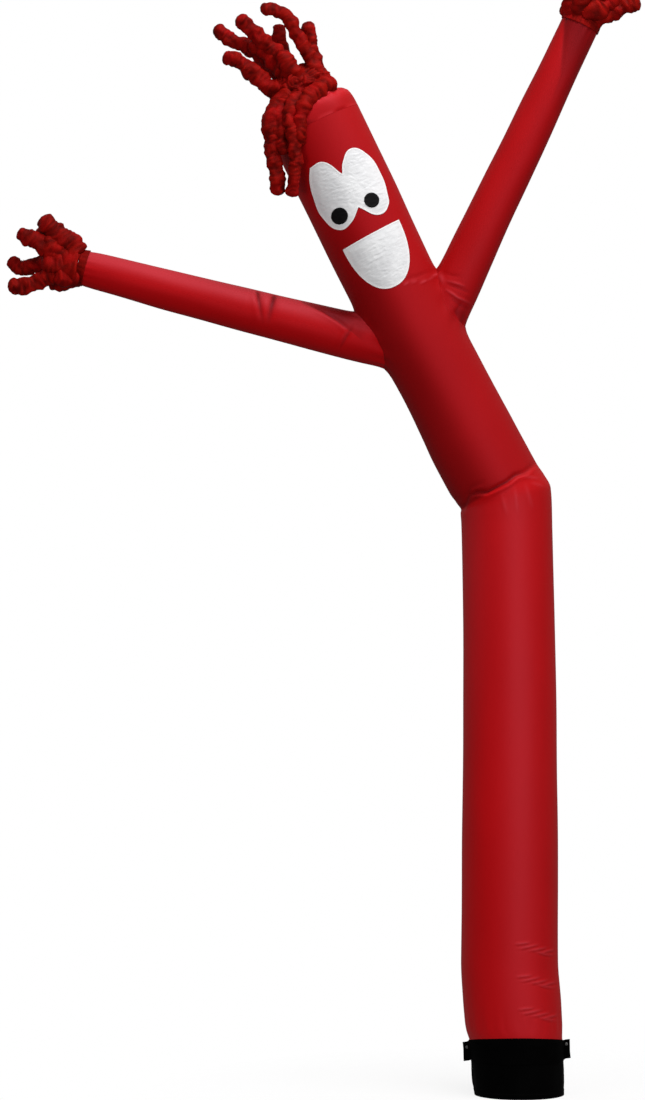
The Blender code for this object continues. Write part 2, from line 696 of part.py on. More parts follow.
main()
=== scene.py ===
import math
from itertools import accumulate

import bmesh
import bpy
from mathutils import Matrix, Vector, noise
from mathutils.bvhtree import BVHTree


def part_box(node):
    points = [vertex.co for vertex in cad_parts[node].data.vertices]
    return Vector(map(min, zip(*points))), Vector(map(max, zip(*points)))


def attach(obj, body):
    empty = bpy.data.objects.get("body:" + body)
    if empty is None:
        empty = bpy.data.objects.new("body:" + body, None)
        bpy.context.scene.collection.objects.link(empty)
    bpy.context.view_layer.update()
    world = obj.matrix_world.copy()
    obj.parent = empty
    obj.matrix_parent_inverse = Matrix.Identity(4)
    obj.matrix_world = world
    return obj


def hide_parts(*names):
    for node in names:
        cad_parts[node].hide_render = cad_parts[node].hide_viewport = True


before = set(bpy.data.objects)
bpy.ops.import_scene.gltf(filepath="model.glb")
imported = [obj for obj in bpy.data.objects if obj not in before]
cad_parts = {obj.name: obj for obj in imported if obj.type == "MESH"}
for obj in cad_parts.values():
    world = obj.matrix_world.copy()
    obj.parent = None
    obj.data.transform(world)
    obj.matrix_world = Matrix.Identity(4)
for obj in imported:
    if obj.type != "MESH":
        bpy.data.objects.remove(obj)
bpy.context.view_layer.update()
print("frame loaded:", len(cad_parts), "nodes")

studio = {
    "cameraPlace": (-1.0228, -21.0, 2.8288),
    "lens": 132.2,
    "skyAbove": 0.4, "skyBelow": 0.08, "skyRange": (-0.5, 0.7),
    "keyPlace": (2.9, -8.0, 2.6), "keySize": (6.0, 3.4), "keyPower": 262.0, "keyTarget": (0.0, 0.0, 2.2),
    "topPlace": (1.0, -2.2, 9.6), "topSize": (3.4, 2.0), "topPower": 280.0, "topTarget": (-0.8, 0.0, 4.0),
    "fillPlace": (-6.0, -7.0, 2.8), "fillSize": (3.0, 3.0), "fillPower": 115.0, "fillTarget": (0.0, 0.0, 2.4),
    "floorRadius": 2.0, "floorFade": 0.4, "floorGlow": 0.30, "floorShare": 0.25,
}


def addCamera():
    data = bpy.data.cameras.new("studioCamera")
    data.lens, data.sensor_width, data.clip_end = studio["lens"], 36.0, 200.0
    camera = bpy.data.objects.new("studioCamera", data)
    camera.location = studio["cameraPlace"]
    camera.rotation_euler = (math.radians(90), 0, 0)
    bpy.context.scene.collection.objects.link(camera)
    bpy.context.scene.camera = camera


def addLight(name):
    data = bpy.data.lights.new(name + "Light", "AREA")
    data.shape = "RECTANGLE"
    data.size, data.size_y = studio[name + "Size"]
    data.energy = studio[name + "Power"]
    light = bpy.data.objects.new(name + "Light", data)
    light.location = studio[name + "Place"]
    aim = Vector(studio[name + "Target"]) - light.location
    light.rotation_euler = aim.to_track_quat("-Z", "Y").to_euler()
    bpy.context.scene.collection.objects.link(light)
    return light


addCamera()
addLight("key")
addLight("top")
addLight("fill").visible_glossy = False  # fills the shadows and leaves no second highlight
print("camera and lights placed")


class Wire:
    # a node's socket that takes part in sums
    def __init__(self, nodes, socket):
        self.nodes, self.socket = nodes, socket

    def maths(self, *values):
        return self.nodes.maths(*values)

    def __add__(self, other):
        return self.maths("ADD", self, other)

    def __sub__(self, other):
        return self.maths("SUBTRACT", self, other)

    def __rsub__(self, other):
        return self.maths("SUBTRACT", other, self)

    def __mul__(self, other):
        return self.maths("MULTIPLY", self, other)

    def __truediv__(self, other):
        return self.maths("DIVIDE", self, other)

    __radd__ = __add__
    __rmul__ = __mul__

    def clamped(self):
        return self.nodes.maths("ADD", self, 0.0, clamp=True)

    def wave(self, pitch):  # distance from the nearest line of a set, as a share of half the pitch
        return self.maths("PINGPONG", self, pitch / 2) / (pitch / 2)

    def line(self, width):  # 1 on zero, falling to 0 at the width
        return (1 - self.maths("ABSOLUTE", self) / width).clamped()


class Nodes:
    def __init__(self, tree):
        self.tree = tree

    def feed(self, socket, value):
        if isinstance(value, Wire):
            self.tree.links.new(value.socket, socket)
        else:
            socket.default_value = value

    def node(self, kind, settings=None, sockets=None, out=0):
        made = self.tree.nodes.new(kind)
        for key, value in (settings or {}).items():
            setattr(made, key, value)
        for key, value in (sockets or {}).items():
            self.feed(made.inputs[key], value)
        return Wire(self, made.outputs[out])

    def maths(self, operation, *values, clamp=False):
        settings = {"operation": operation, "use_clamp": clamp}
        return self.node("ShaderNodeMath", settings, dict(enumerate(values)))


class Finish(Nodes):
    def __init__(self, name, **constants):
        self.made = bpy.data.materials.new(name)
        self.made.use_nodes = True
        super().__init__(self.made.node_tree)
        self.shader = self.tree.nodes["Principled BSDF"]
        for key, value in constants.items():
            self.shader.inputs[key.replace("_", " ")].default_value = value

    def objectPlace(self, scale=(1, 1, 1)):
        place = self.node("ShaderNodeTexCoord", out="Object")
        return self.node("ShaderNodeMapping", {}, {"Vector": place, "Scale": scale})

    def weave(self):  # the cloth's own across and along, in metres
        flat = self.node("ShaderNodeTexCoord", out="UV")
        return [self.node("ShaderNodeSeparateXYZ", {}, {0: flat}, out=axis) for axis in ("X", "Y")]

    def attribute(self, name):
        return self.node("ShaderNodeAttribute", {"attribute_name": name}, out="Fac")

    def noise(self, vector, scale, detail=2.0, rough=0.5):
        sockets = {"Vector": vector, "Scale": scale, "Detail": detail, "Roughness": rough}
        return self.node("ShaderNodeTexNoise", {}, sockets)

    def grid(self, pitch, width):  # stronger threads both ways
        across, along = self.weave()
        return across.wave(pitch).line(width) + along.wave(pitch).line(width)

    def stitches(self, seam, run, offset, pitch):  # thread beside a seam, in and out of the cloth
        return (seam - offset).line(0.0012) * self.maths("GREATER_THAN", run.wave(pitch), 0.35)

    def coated(self, tone, *coats):  # each coat is a mask and the colour that shows where it is 1
        for mask, colour in coats:
            tone = self.node("ShaderNodeMix", {"data_type": "RGBA"}, {0: mask, 6: tone, 7: colour}, out=2)
        return tone

    def surface(self, colour, roughness, height, distance, strength):
        bump = self.node("ShaderNodeBump", {}, {"Height": height, "Distance": distance, "Strength": strength})
        for name, value in (("Base Color", colour), ("Roughness", roughness), ("Normal", bump)):
            self.feed(self.shader.inputs[name], value)
        return self.made


def rgb(red, green, blue):  # from the 0 to 255 of a colour chart to linear light
    chart = [value / 255 for value in (red, green, blue)]
    linear = [c / 12.92 if c <= 0.04045 else ((c + 0.055) / 1.055) ** 2.4 for c in chart]
    return (*linear, 1.0)


nylon = {
    "darkRed": rgb(181, 4, 6), "lightRed": rgb(199, 8, 11), "upperRedAndShade": rgb(112, 3, 2),
    "highlightPink": rgb(206, 62, 72), "seamRed": rgb(140, 5, 6), "paintedShadeRed": rgb(70, 2, 2), "thread": rgb(110, 5, 6),
    "gloss": 0.26, "glossTint": (1.0, 0.45, 0.62, 1.0), "roughness": 0.49,
    "threadPitch": 0.006, "threadWidth": 0.22, "stitchPitch": 0.006, "stitchOffset": 0.007,
    "seamWidth": 0.0025, "seamDirt": 0.011,
}


def redNylon():
    finish = Finish("redNylon", Specular_IOR_Level=nylon["gloss"], Specular_Tint=nylon["glossTint"])
    along = finish.weave()[1]
    seam, crease = finish.attribute("seam"), finish.attribute("crease")
    deep, paintedHighlight = finish.attribute("deep"), finish.attribute("paintedHighlight")
    broad = finish.noise(finish.objectPlace((1, 1, 0.35)), 3.5, 3.0)
    fine = finish.noise(finish.objectPlace((1, 1, 0.5)), 26.0, 4.0, 0.6)
    thread = finish.stitches(seam, along, nylon["stitchOffset"], nylon["stitchPitch"])
    # the dark red layer: the upper tube's deeper cloth, plus painted shade on the torso's left side, at the
    # tube's foot and under the left arm
    tone = finish.coated(
        nylon["darkRed"], ((broad * 1.5 - 0.25).clamped(), nylon["lightRed"]),
        # painted highlight: pink on the tops of the left arm and the crown, in strips down the lower tube and
        # along ridges
        (deep.clamped(), nylon["upperRedAndShade"]), (paintedHighlight.clamped(), nylon["highlightPink"]),
        (seam.line(nylon["seamDirt"]) * 0.2, nylon["seamRed"]),
        # painted shade in the folds and in the hollows beside them
        ((crease * 0.75).clamped(), nylon["paintedShadeRed"]), (thread * 0.4, nylon["thread"]))
    height = fine * 0.55 + finish.grid(nylon["threadPitch"], nylon["threadWidth"]) * 0.08
    height += thread * 0.3 - seam.line(nylon["seamWidth"]) * 0.4
    return finish.surface(tone, broad * 0.08 + deep * 0.20 + nylon["roughness"], height, 0.0018, 0.5)


satin = {
    "shaded": rgb(222, 222, 224), "white": rgb(244, 244, 245), "hem": rgb(253, 251, 251), "rim": rgb(150, 90, 92),
    "thread": rgb(170, 168, 168), "gloss": 0.3, "roughness": 0.40, "threadPitch": 0.004, "threadWidth": 0.3,
    "hemWidth": 0.011, "rimShadowWidth": 0.0016, "stitchOffset": 0.0075, "stitchPitch": 0.007,
    "wrinkleScale": (16, 62, 1), "wrinkleTurn": math.radians(-6),
}


def whiteSatin():
    finish = Finish("whiteSatin", Specular_IOR_Level=satin["gloss"])
    edge, run = finish.attribute("edge"), finish.attribute("run")
    slant = finish.node("ShaderNodeMapping", {}, {
        "Vector": finish.node("ShaderNodeTexCoord", out="UV"),
        "Rotation": (0, 0, satin["wrinkleTurn"]), "Scale": satin["wrinkleScale"]})
    wrinkle = finish.noise(slant, 1.0, 2.5, 0.55)
    cloudy = finish.noise(finish.objectPlace(), 9.0)
    thread = finish.stitches(edge, run, satin["stitchOffset"], satin["stitchPitch"])
    tone = finish.coated(
        satin["shaded"], ((cloudy * 1.6 - 0.3).clamped(), satin["white"]),
        # painted highlight: the raised hem made whiter
        ((edge.line(satin["hemWidth"]) * 2.0).clamped() * 0.85, satin["hem"]),
        # painted shadow: a thin dark line round the patch's edge
        (edge.line(satin["rimShadowWidth"]), satin["rim"]), (thread * 0.45, satin["thread"]))
    height = wrinkle + finish.grid(satin["threadPitch"], satin["threadWidth"]) * 0.03
    height += edge.line(0.012) * 0.4 - thread * 0.3
    return finish.surface(tone, cloudy * 0.12 + satin["roughness"], height, 0.0045, 0.55)


def blackNylon():
    finish = Finish("blackNylon", Specular_IOR_Level=0.08)
    cloudy = finish.noise(finish.objectPlace(), 40.0, 3.0)
    thread = finish.stitches(finish.attribute("edge"), finish.attribute("run"), 0.005, 0.006)
    tone = finish.coated(rgb(9, 9, 10), (cloudy, rgb(22, 22, 23)), (thread * 0.6, rgb(46, 46, 48)))
    return finish.surface(tone, cloudy * 0.15 + 0.5, cloudy + finish.grid(0.004, 0.3) * 0.1, 0.0015, 0.6)


def ruchedNylon():
    finish = Finish("ruchedNylon", Specular_IOR_Level=0.05)
    fold = finish.attribute("fold")  # 0 in a gather's crevice, 1 on its crest
    broad = finish.noise(finish.objectPlace(), 11.0, 3.0)
    creases = finish.noise(finish.objectPlace(), 75.0, 5.0, 0.65)
    # painted shade: the dark red fills each gather's crevice, the lighter red its crest
    tone = finish.coated(
        rgb(96, 6, 3), ((fold * 1.15 - 0.1).clamped(), rgb(146, 13, 6)),
        ((broad * 2.6 - 1.2).clamped() * 0.7, rgb(186, 9, 14)))
    return finish.surface(tone, broad * 0.1 + 0.55, creases + finish.grid(0.005, 0.3) * 0.08, 0.004, 0.7)


def blackCanvas():
    finish = Finish("blackCanvas", Specular_IOR_Level=0.02)
    across, along = finish.weave()
    dust = finish.noise(finish.objectPlace((1, 1, 0.5)), 7.0, 4.0, 0.6)
    warp = across.wave(0.0036) * 0.6 + along.wave(0.0036) * 0.6
    thread = finish.stitches(finish.attribute("seam"), across, 0.0, 0.007)
    tone = finish.coated(rgb(1, 1, 1), ((dust * 1.8 - 0.6).clamped(), rgb(5, 5, 5)), (thread, rgb(24, 23, 23)))
    return finish.surface(tone, dust * 0.2 + 0.62, warp * 0.5 + dust - thread * 0.5, 0.0012, 0.8)


def blackWebbing():
    finish = Finish("blackWebbing", Specular_IOR_Level=0.015)
    across, along = finish.weave()
    dust = finish.noise(finish.objectPlace(), 18.0, 3.0)
    twill, rib = (across + along * 0.8).wave(0.006), along.wave(0.003)
    tone = finish.coated(rgb(1, 1, 1), ((dust * 1.6 - 0.4).clamped(), rgb(4, 4, 4)))
    return finish.surface(tone, dust * 0.2 + 0.6, twill * 0.7 + rib * 0.5, 0.0009, 0.9)


def dullSteel():
    finish = Finish("dullSteel", Metallic=1.0)
    worn = finish.noise(finish.objectPlace(), 160.0, 5.0, 0.6)
    streak = finish.noise(finish.objectPlace((1, 1, 9)), 90.0, 3.0)
    tone = finish.coated(rgb(70, 69, 68), (worn, rgb(116, 115, 114)))
    return finish.surface(tone, worn * 0.25 + 0.40, streak, 0.0002, 0.5)


class Tube:
    # smooth between its rings, straight past its ends
    def __init__(self, rings):
        self.rings = rings
        self.stations = runningLengths(math.dist(a[:2], b[:2]) for a, b in zip(rings, rings[1:]))
        self.length = self.stations[-1]
        self.slopes = [self.slopesOf(column) for column in zip(*rings)]
        self.sampled = [self.length * i / 240 for i in range(241)]
        self.centres = [self.at(s)[0] for s in self.sampled]

    def slopesOf(self, values):
        steps = [b - a for a, b in zip(self.stations, self.stations[1:])]
        rates = [(b - a) / step for a, b, step in zip(values, values[1:], steps)]
        inner = [2 * a * b / (a + b) if a * b > 0 else 0.0 for a, b in zip(rates, rates[1:])]
        return [rates[0], *inner, rates[-1]]

    def values(self, s):
        if s <= 0 or s >= self.length:
            end = 0 if s <= 0 else -1
            over = s if s <= 0 else s - self.length
            x, z, lean, radius = self.rings[end]
            return x - math.sin(math.radians(lean)) * over, z + math.cos(math.radians(lean)) * over, lean, radius
        i = next(k for k in range(len(self.stations) - 1) if s <= self.stations[k + 1])
        step = self.stations[i + 1] - self.stations[i]
        t = (s - self.stations[i]) / step
        h = (2 * t**3 - 3 * t**2 + 1, (t**3 - 2 * t**2 + t) * step, 3 * t**2 - 2 * t**3, (t**3 - t**2) * step)
        return [h[0] * self.rings[i][k] + h[1] * self.slopes[k][i] + h[2] * self.rings[i + 1][k]
                + h[3] * self.slopes[k][i + 1] for k in range(4)]

    def at(self, s):
        x, z, lean, radius = self.values(s)
        turn = math.radians(lean)
        across = Vector((math.cos(turn), 0, math.sin(turn)))
        axis = Vector((-math.sin(turn), 0, math.cos(turn)))
        return Vector((x, 0, z)), across, axis, radius

    def outside(self, point):
        # distance from the skin, below zero inside; with the station and the angle
        near = min(range(len(self.centres)), key=lambda i: (point - self.centres[i]).length_squared)
        s = self.sampled[near]
        for _ in range(3):
            centre, across, axis, radius = self.at(s)
            s += (point - centre).dot(axis)
        centre, across, axis, radius = self.at(s)
        local = point - centre
        angle = math.atan2(local.y, local.dot(across))
        gap = (local - axis * local.dot(axis)).length - radius
        if s < 0:
            gap = max(gap, -s)
        return gap, s, angle


def runningLengths(steps):
    return list(accumulate(steps, initial=0.0))


def seamAngle(turn):  # the seams run up the back
    return math.radians(90) + math.tau * turn


def outwards(across, angle):
    return across * math.cos(angle) + Vector((0, 1, 0)) * math.sin(angle)


def ringNoise(angle, wide, along):
    return noise.noise(Vector((math.cos(angle) * wide, math.sin(angle) * wide, along)))


def rolledCloth(sides, rows, place, layers=("seam", "crease", "deep", "paintedHighlight")):
    # a flat grid rolled into a tube: place gives the point, the weave's place and the layers' values
    bm = bmesh.new()
    weaveLayer = bm.loops.layers.uv.new("cloth")
    stored = [bm.verts.layers.float.new(name) for name in layers]
    bmesh.ops.create_grid(bm, x_segments=sides, y_segments=rows, size=0.5)
    weave = {}
    for vert in bm.verts:
        point, flat, values = place(vert.co.x + 0.5, vert.co.y + 0.5)
        vert.co, weave[vert] = point, flat
        for layer, value in zip(stored, values):
            vert[layer] = value
    for face in bm.faces:
        for loop in face.loops:
            loop[weaveLayer].uv = weave[loop.vert]
    bmesh.ops.remove_doubles(bm, verts=bm.verts, dist=0.00004)
    return bm


def finished(name, bm, material, slot, node, wall=0.0):
    mesh = bpy.data.meshes.new(name)
    bm.to_mesh(mesh)
    bm.free()
    mesh.shade_smooth()
    mesh.materials.append(material)
    piece = bpy.data.objects.new(name, mesh)
    bpy.context.scene.collection.objects.link(piece)
    if wall:
        modifier = piece.modifiers.new("wall", "SOLIDIFY")
        modifier.thickness, modifier.offset = wall, -1.0
    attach(piece, "root")
    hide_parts(node)
    print("piece", name, len(mesh.polygons), "faces")
    return piece


def joined(bm, part):
    mesh = bpy.data.meshes.new("part")
    part.to_mesh(mesh)
    part.free()
    bm.from_mesh(mesh)
    bpy.data.meshes.remove(mesh)


def ramp(value, low, high):
    t = min(1.0, max(0.0, (value - low) / (high - low)))
    return t * t * (3 - 2 * t)


def hump(value, width):
    return math.exp(-(value / width) ** 2)


def fold(line, depth, width, swell=0.0, start=0.1, stop=0.9, shade=0.0, shine=0.0, hollow=0.0):
    # start and stop say where along the line the fold begins and ends, deepest halfway from 0 to 1
    # shade is painted shade in the trough, and with hollow over a width on one side; shine is a painted highlight
    # along the line
    return {"line": line, "depth": depth, "width": width, "swell": swell, "start": start, "stop": stop,
            "shade": shade, "shine": shine, "hollow": hollow}


def creaseLift(point, crease):
    # a fold seen from the front: a trough along a line, with a swell on its lower or left side, and the painted
    # shade and painted highlight that go with it
    best, share = 1e9, 0.0
    width, hollow = crease["width"], crease["hollow"]
    spans = len(crease["line"]) - 1
    for i, (a, b) in enumerate(zip(crease["line"], crease["line"][1:])):
        dx, dz = b[0] - a[0], b[1] - a[1]
        px, pz = point.x - a[0], point.z - a[1]
        t = min(1.0, max(0.0, (px * dx + pz * dz) / (dx * dx + dz * dz)))
        ox, oz = px - dx * t, pz - dz * t
        gap = math.hypot(ox, oz)
        if gap < abs(best):
            best = math.copysign(gap, dx * oz - dz * ox)
            share = (i + t) / spans
    if abs(best) > 4 * width + hollow:
        return 0.0, 0.0, 0.0
    along = crease["start"] + (crease["stop"] - crease["start"]) * share
    fade = math.sin(math.pi * min(1.0, max(0.0, along)))
    lift = crease["swell"] * hump(best + 1.5 * width, width) - crease["depth"] * hump(best, width)
    shade = crease["shade"] * hump(best, 0.55 * width)
    if hollow and best > 0:
        shade = max(shade, crease["shade"] * (1 - ramp(best, 0.4 * hollow, hollow)))
    return fade * lift, fade * shade, fade * crease["shine"] * hump(best, 0.8 * width)


def creasesLift(point, creases):
    return [sum(values) for values in zip((0.0, 0.0, 0.0), *(creaseLift(point, crease) for crease in creases))]


def frontwards(turn, share):
    # more columns at the front than at the back
    return turn + share * math.sin(math.tau * turn) / math.tau


body = {
    "rings": (  # x, z, lean to the left in degrees, radius
        (-0.012, 0.2, 0, 0.2382), (-0.0167, 0.282, 0, 0.2413), (-0.02, 0.3, 0, 0.244), (-0.026, 0.34, 0, 0.25),
        (-0.03, 0.385, 0, 0.2522), (-0.037, 0.49, 0, 0.2545), (-0.05, 0.697, 0, 0.2522),
        (-0.048, 1.217, 0, 0.2496), (-0.05, 2.049, 0, 0.242), (-0.06, 2.777, 0, 0.2368),
        (-0.064, 2.96, 0, 0.2366), (-0.067, 3.04, 6, 0.2385), (-0.069, 3.094, 14, 0.24),
        (-0.098, 3.1467, 19, 0.238), (-0.1215, 3.1807, 23, 0.234), (-0.1422, 3.2135, 26, 0.235),
        (-0.1715, 3.266, 28, 0.2355), (-0.2426, 3.3996, 28, 0.2351), (-0.295, 3.505, 28, 0.2312),
        (-0.401, 3.713, 28, 0.2265), (-0.568, 4.02, 27, 0.229), (-0.669, 4.23, 25.75, 0.2345),
        (-0.771, 4.441, 25.75, 0.239), (-0.869, 4.649, 25.75, 0.243), (-0.972, 4.858, 25.75, 0.2436),
        (-1.059, 5.037, 25.75, 0.2436),
    ),
    "sides": 128, "denser": 0.5, "wall": 0.0012,
    # how far apart the rows of cloth are, from each station up, in metres along the tube
    "spacing": ((0.0, 0.01), (0.2, 0.0062), (0.68, 0.028), (2.8, 0.0072), (3.22, 0.022), (3.75, 0.0095),
                (4.14, 0.0055), (4.3, 0.0095), (4.45, 0.022), (4.95, 0.008)),
    "unevenness": 0.0026, "cuffGather": 0.0014, "capGather": 0.0002,
    "deepFrom": (-0.10, 3.165, 0.62), "deepLeft": 0.66, "deepRight": 0.36, "deepFoot": 0.03,
    "glare": 0.13, "sideGlare": 0.14,
    "cutRadius": 0.24, "seamRidge": 0.0016, "seamWidth": 0.006,
    "rootFillet": 0.010, "filletReach": 0.018, "rootPucker": 0.0042, "rootReach": 0.024, "rootSpan": 0.16,
    "rootFolds": 13, "holeInset": 0.01, "shoulders": (3.5, 4.6),  # the heights that the arms join between
    "creased": ((0.2, 0.95), (2.85, 3.45), (4.1, 4.35)),  # the heights with folds
}
frontCreases = [  # in x and z; the waist's fold first
    fold(((-0.3, 3.03), (-0.268, 3.112), (-0.232, 3.126), (-0.178, 3.127), (-0.126, 3.152), (-0.075, 3.178),
          (-0.028, 3.214), (0.023, 3.23), (0.06, 3.26), (0.086, 3.276)), 0.016, 0.012, 0.009, 0.05, 0.97, 0.9),
    fold(((-0.3, 3.095), (-0.262, 3.15), (-0.2, 3.176)), 0.004, 0.013, 0.003, shade=0.15),
    # stretched cloth under the waist's fold: ridges with a painted highlight
    fold(((0.011, 3.208), (0.092, 3.199)), -0.0028, 0.0085, shine=0.3),
    fold(((0.057, 3.175), (0.114, 3.158)), -0.0024, 0.008, shine=0.25),
    fold(((-0.101, 3.11), (-0.078, 3.018)), -0.0024, 0.01, shine=0.2),
    fold(((-0.034, 3.146), (-0.021, 3.03)), -0.0026, 0.011, shine=0.22),
    fold(((0.023, 3.163), (0.058, 3.05)), -0.0024, 0.01, shine=0.22),
    # beside the mouth: ridges with a painted highlight, then a trough with painted shade
    fold(((-0.6042, 4.1922), (-0.5782, 4.2052)), -0.0032, 0.0055, shine=0.55),
    fold(((-0.571, 4.2052), (-0.5377, 4.2187)), -0.0034, 0.0055, shine=0.6),
    fold(((-0.521, 4.2052), (-0.4846, 4.2219)), -0.0036, 0.006, shine=0.6),
    fold(((-0.4742, 4.2255), (-0.441, 4.252), (-0.425, 4.275)), -0.004, 0.006, stop=0.8, shine=0.6),
    fold(((-0.62, 4.215), (-0.54, 4.236), (-0.455, 4.272)), 0.0035, 0.009, shade=0.15),
]
wrinkleFan = (
    ((-0.037, 0.804), (0.048, 0.811)),
    ((-0.013, 0.781), (0.09, 0.799)),
    ((0.037, 0.769), (0.132, 0.78)),
    ((0.069, 0.766), (0.116, 0.748), (0.169, 0.735)),
    ((0.101, 0.759), (0.175, 0.762)),
)
for number in range(3):  # small fans of ridges, one above the other
    for line in wrinkleFan:
        moved = tuple((x + 0.008 * number, z - 0.168 * number) for x, z in line)
        # each ridge gets a painted highlight, and the trough under it painted shade
        frontCreases.append(fold(moved, -0.0036, 0.0056, start=0.05, stop=0.95, shine=0.45))
        under = tuple((x + 0.004, z - 0.011) for x, z in moved)
        frontCreases.append(fold(under, 0.0020, 0.0060, start=0.05, stop=0.95, shade=0.10))
# the same kind of folds at the back of the waist, where the tube stretches over the bend
backCreases = [
    fold(((-0.29, 3.06), (-0.2, 3.105), (-0.1, 3.14), (0.01, 3.2)), 0.015, 0.016, 0.008, 0.25, 1.0, 0.9),
    fold(((-0.3, 3.15), (-0.22, 3.16), (-0.13, 3.19)), 0.008, 0.013, 0.004, 0.2, 1.0, 0.6),
    fold(((-0.28, 2.98), (-0.19, 3.01), (-0.08, 3.03)), 0.006, 0.014, 0.003, 0.2, 1.0, 0.4),
]
arms = {
    "left": {
        "deep": 0.12, "under": 0.12, "paintedHighlight": 0.55,
        "rings": ((-0.49, 3.864, 79.5, 0.125), (-0.771, 3.916, 77, 0.124), (-1.14, 4.007, 76, 0.1184),
                  (-1.66, 4.137, 75.5, 0.1084), (-2.18, 4.274, 75.3, 0.0955), (-2.263, 4.295, 75.3, 0.089)),
        "creases": (
            fold(((-1.357, 4.17), (-1.347, 4.1), (-1.33, 3.992)), 0.008, 0.017, 0.003, 0.38, 1.0, 0.9),
            fold(((-1.271, 4.15), (-1.286, 4.088), (-1.306, 3.992)), 0.0095, 0.023, 0.003, 0.38, 1.0, 1.05),
            fold(((-1.12, 4.114), (-1.0182, 4.065), (-0.9438, 4.018), (-0.885, 3.968)), 0.0045, 0.012, 0.0035,
                 0.18, 0.86, 0.90, hollow=0.11),
            fold(((-0.864, 3.988), (-0.9, 3.93), (-0.94, 3.86)), 0.005, 0.012, 0.003, 0.05, 1.0, 0.6),
        ),
    },
    "right": {
        "deep": 0.30, "under": 0.0, "paintedHighlight": 0.0,
        "rings": ((-0.49, 3.864, -25.5, 0.13), (-0.36, 4.139, -25.5, 0.129), (-0.266, 4.337, -25.5, 0.122),
                  (-0.118, 4.649, -25.5, 0.115), (0.033, 4.961, -25.5, 0.11), (0.23, 5.377, -25.5, 0.101),
                  (0.32, 5.564, -25.5, 0.098)),
        "creases": (
            fold(((-0.385, 4.222), (-0.3245, 4.2052), (-0.285, 4.193)), -0.0035, 0.007, stop=0.95, shine=0.35),
            fold(((-0.38, 4.203), (-0.3245, 4.1824), (-0.262, 4.158)), 0.0035, 0.0095, stop=0.95, shade=0.25),
            fold(((-0.385, 4.174), (-0.351, 4.1522), (-0.3245, 4.134), (-0.258, 4.106)), -0.005, 0.0075,
                 stop=0.95, shine=0.50),
            fold(((-0.36, 4.128), (-0.32, 4.1), (-0.262, 4.07)), 0.003, 0.012, stop=0.95, shade=0.15),
            fold(((-0.4, 4.262), (-0.35, 4.246), (-0.3, 4.24)), 0.003, 0.009, stop=0.95, shade=0.1),
            fold(((-0.412, 4.258), (-0.398, 4.212)), -0.003, 0.014, shine=0.5),
            fold(((-0.3, 4.11), (-0.335, 4.06), (-0.3, 3.985)), 0.003, 0.01, shade=0.5, hollow=0.06),
            fold(((0.236, 5.58), (0.226, 5.45), (0.214, 5.28), (0.15, 5.1)), 0.003, 0.014, 0.0,
                 0.5, 1.0, 0.78, hollow=0.20),
        ),
    },
    "sides": 84, "denser": 0.5, "rows": 250, "wall": 0.0012, "seamDepth": 0.004,
    "rootStep": 0.006, "cutRadius": 0.118, "unevenness": 0.0022, "flare": 0.009, "flareReach": 0.022,
    "pucker": 0.0040, "puckerReach": 0.055, "wristGather": 0.0022, "wristReach": 0.044,
    "backShift": 0.05, "backShare": 0.7,
}
bodyTube = Tube(body["rings"])
armTubes = {side: Tube(arms[side]["rings"]) for side in ("left", "right")}


def spacedRows(length, spacing):
    rows, s = [0.0], 0.0
    while s < length:
        s += next(step for start, step in reversed(spacing) if s >= start - 1e-9)
        rows.append(min(s, length))
    if rows[-1] - rows[-2] < 0.003:
        rows.pop(-2)
    return rows


def unevenness(s, angle):
    return body["unevenness"] * ringNoise(angle, 1.7, s * 2.2)


def isBetween(value, span):
    return span[0] < value < span[1]


def rootFolds(angle):
    return math.cos(body["rootFolds"] * angle + 2.2 * math.sin(2 * angle))


def bodyLift(point, s, angle):
    lift = unevenness(s, angle)
    gather = ringNoise(angle, 9, s * 3) + 0.6 * math.cos(angle * 23)
    lift += body["cuffGather"] * gather * hump(s - 0.16, 0.08) * ramp(s, 0.125, 0.16)
    lift += body["capGather"] * gather * hump(bodyTube.length - s, 0.05)
    if not any(isBetween(point.z, span) for span in body["creased"]):
        return lift, 0.0, 0.0
    raised, shade, shine = creasesLift(point, frontCreases if point.y < 0 else backCreases)
    shore = ramp(abs(point.y), 0.02, 0.10)  # folds die away at the sides
    return lift + raised * shore, shade * shore, shine * shore


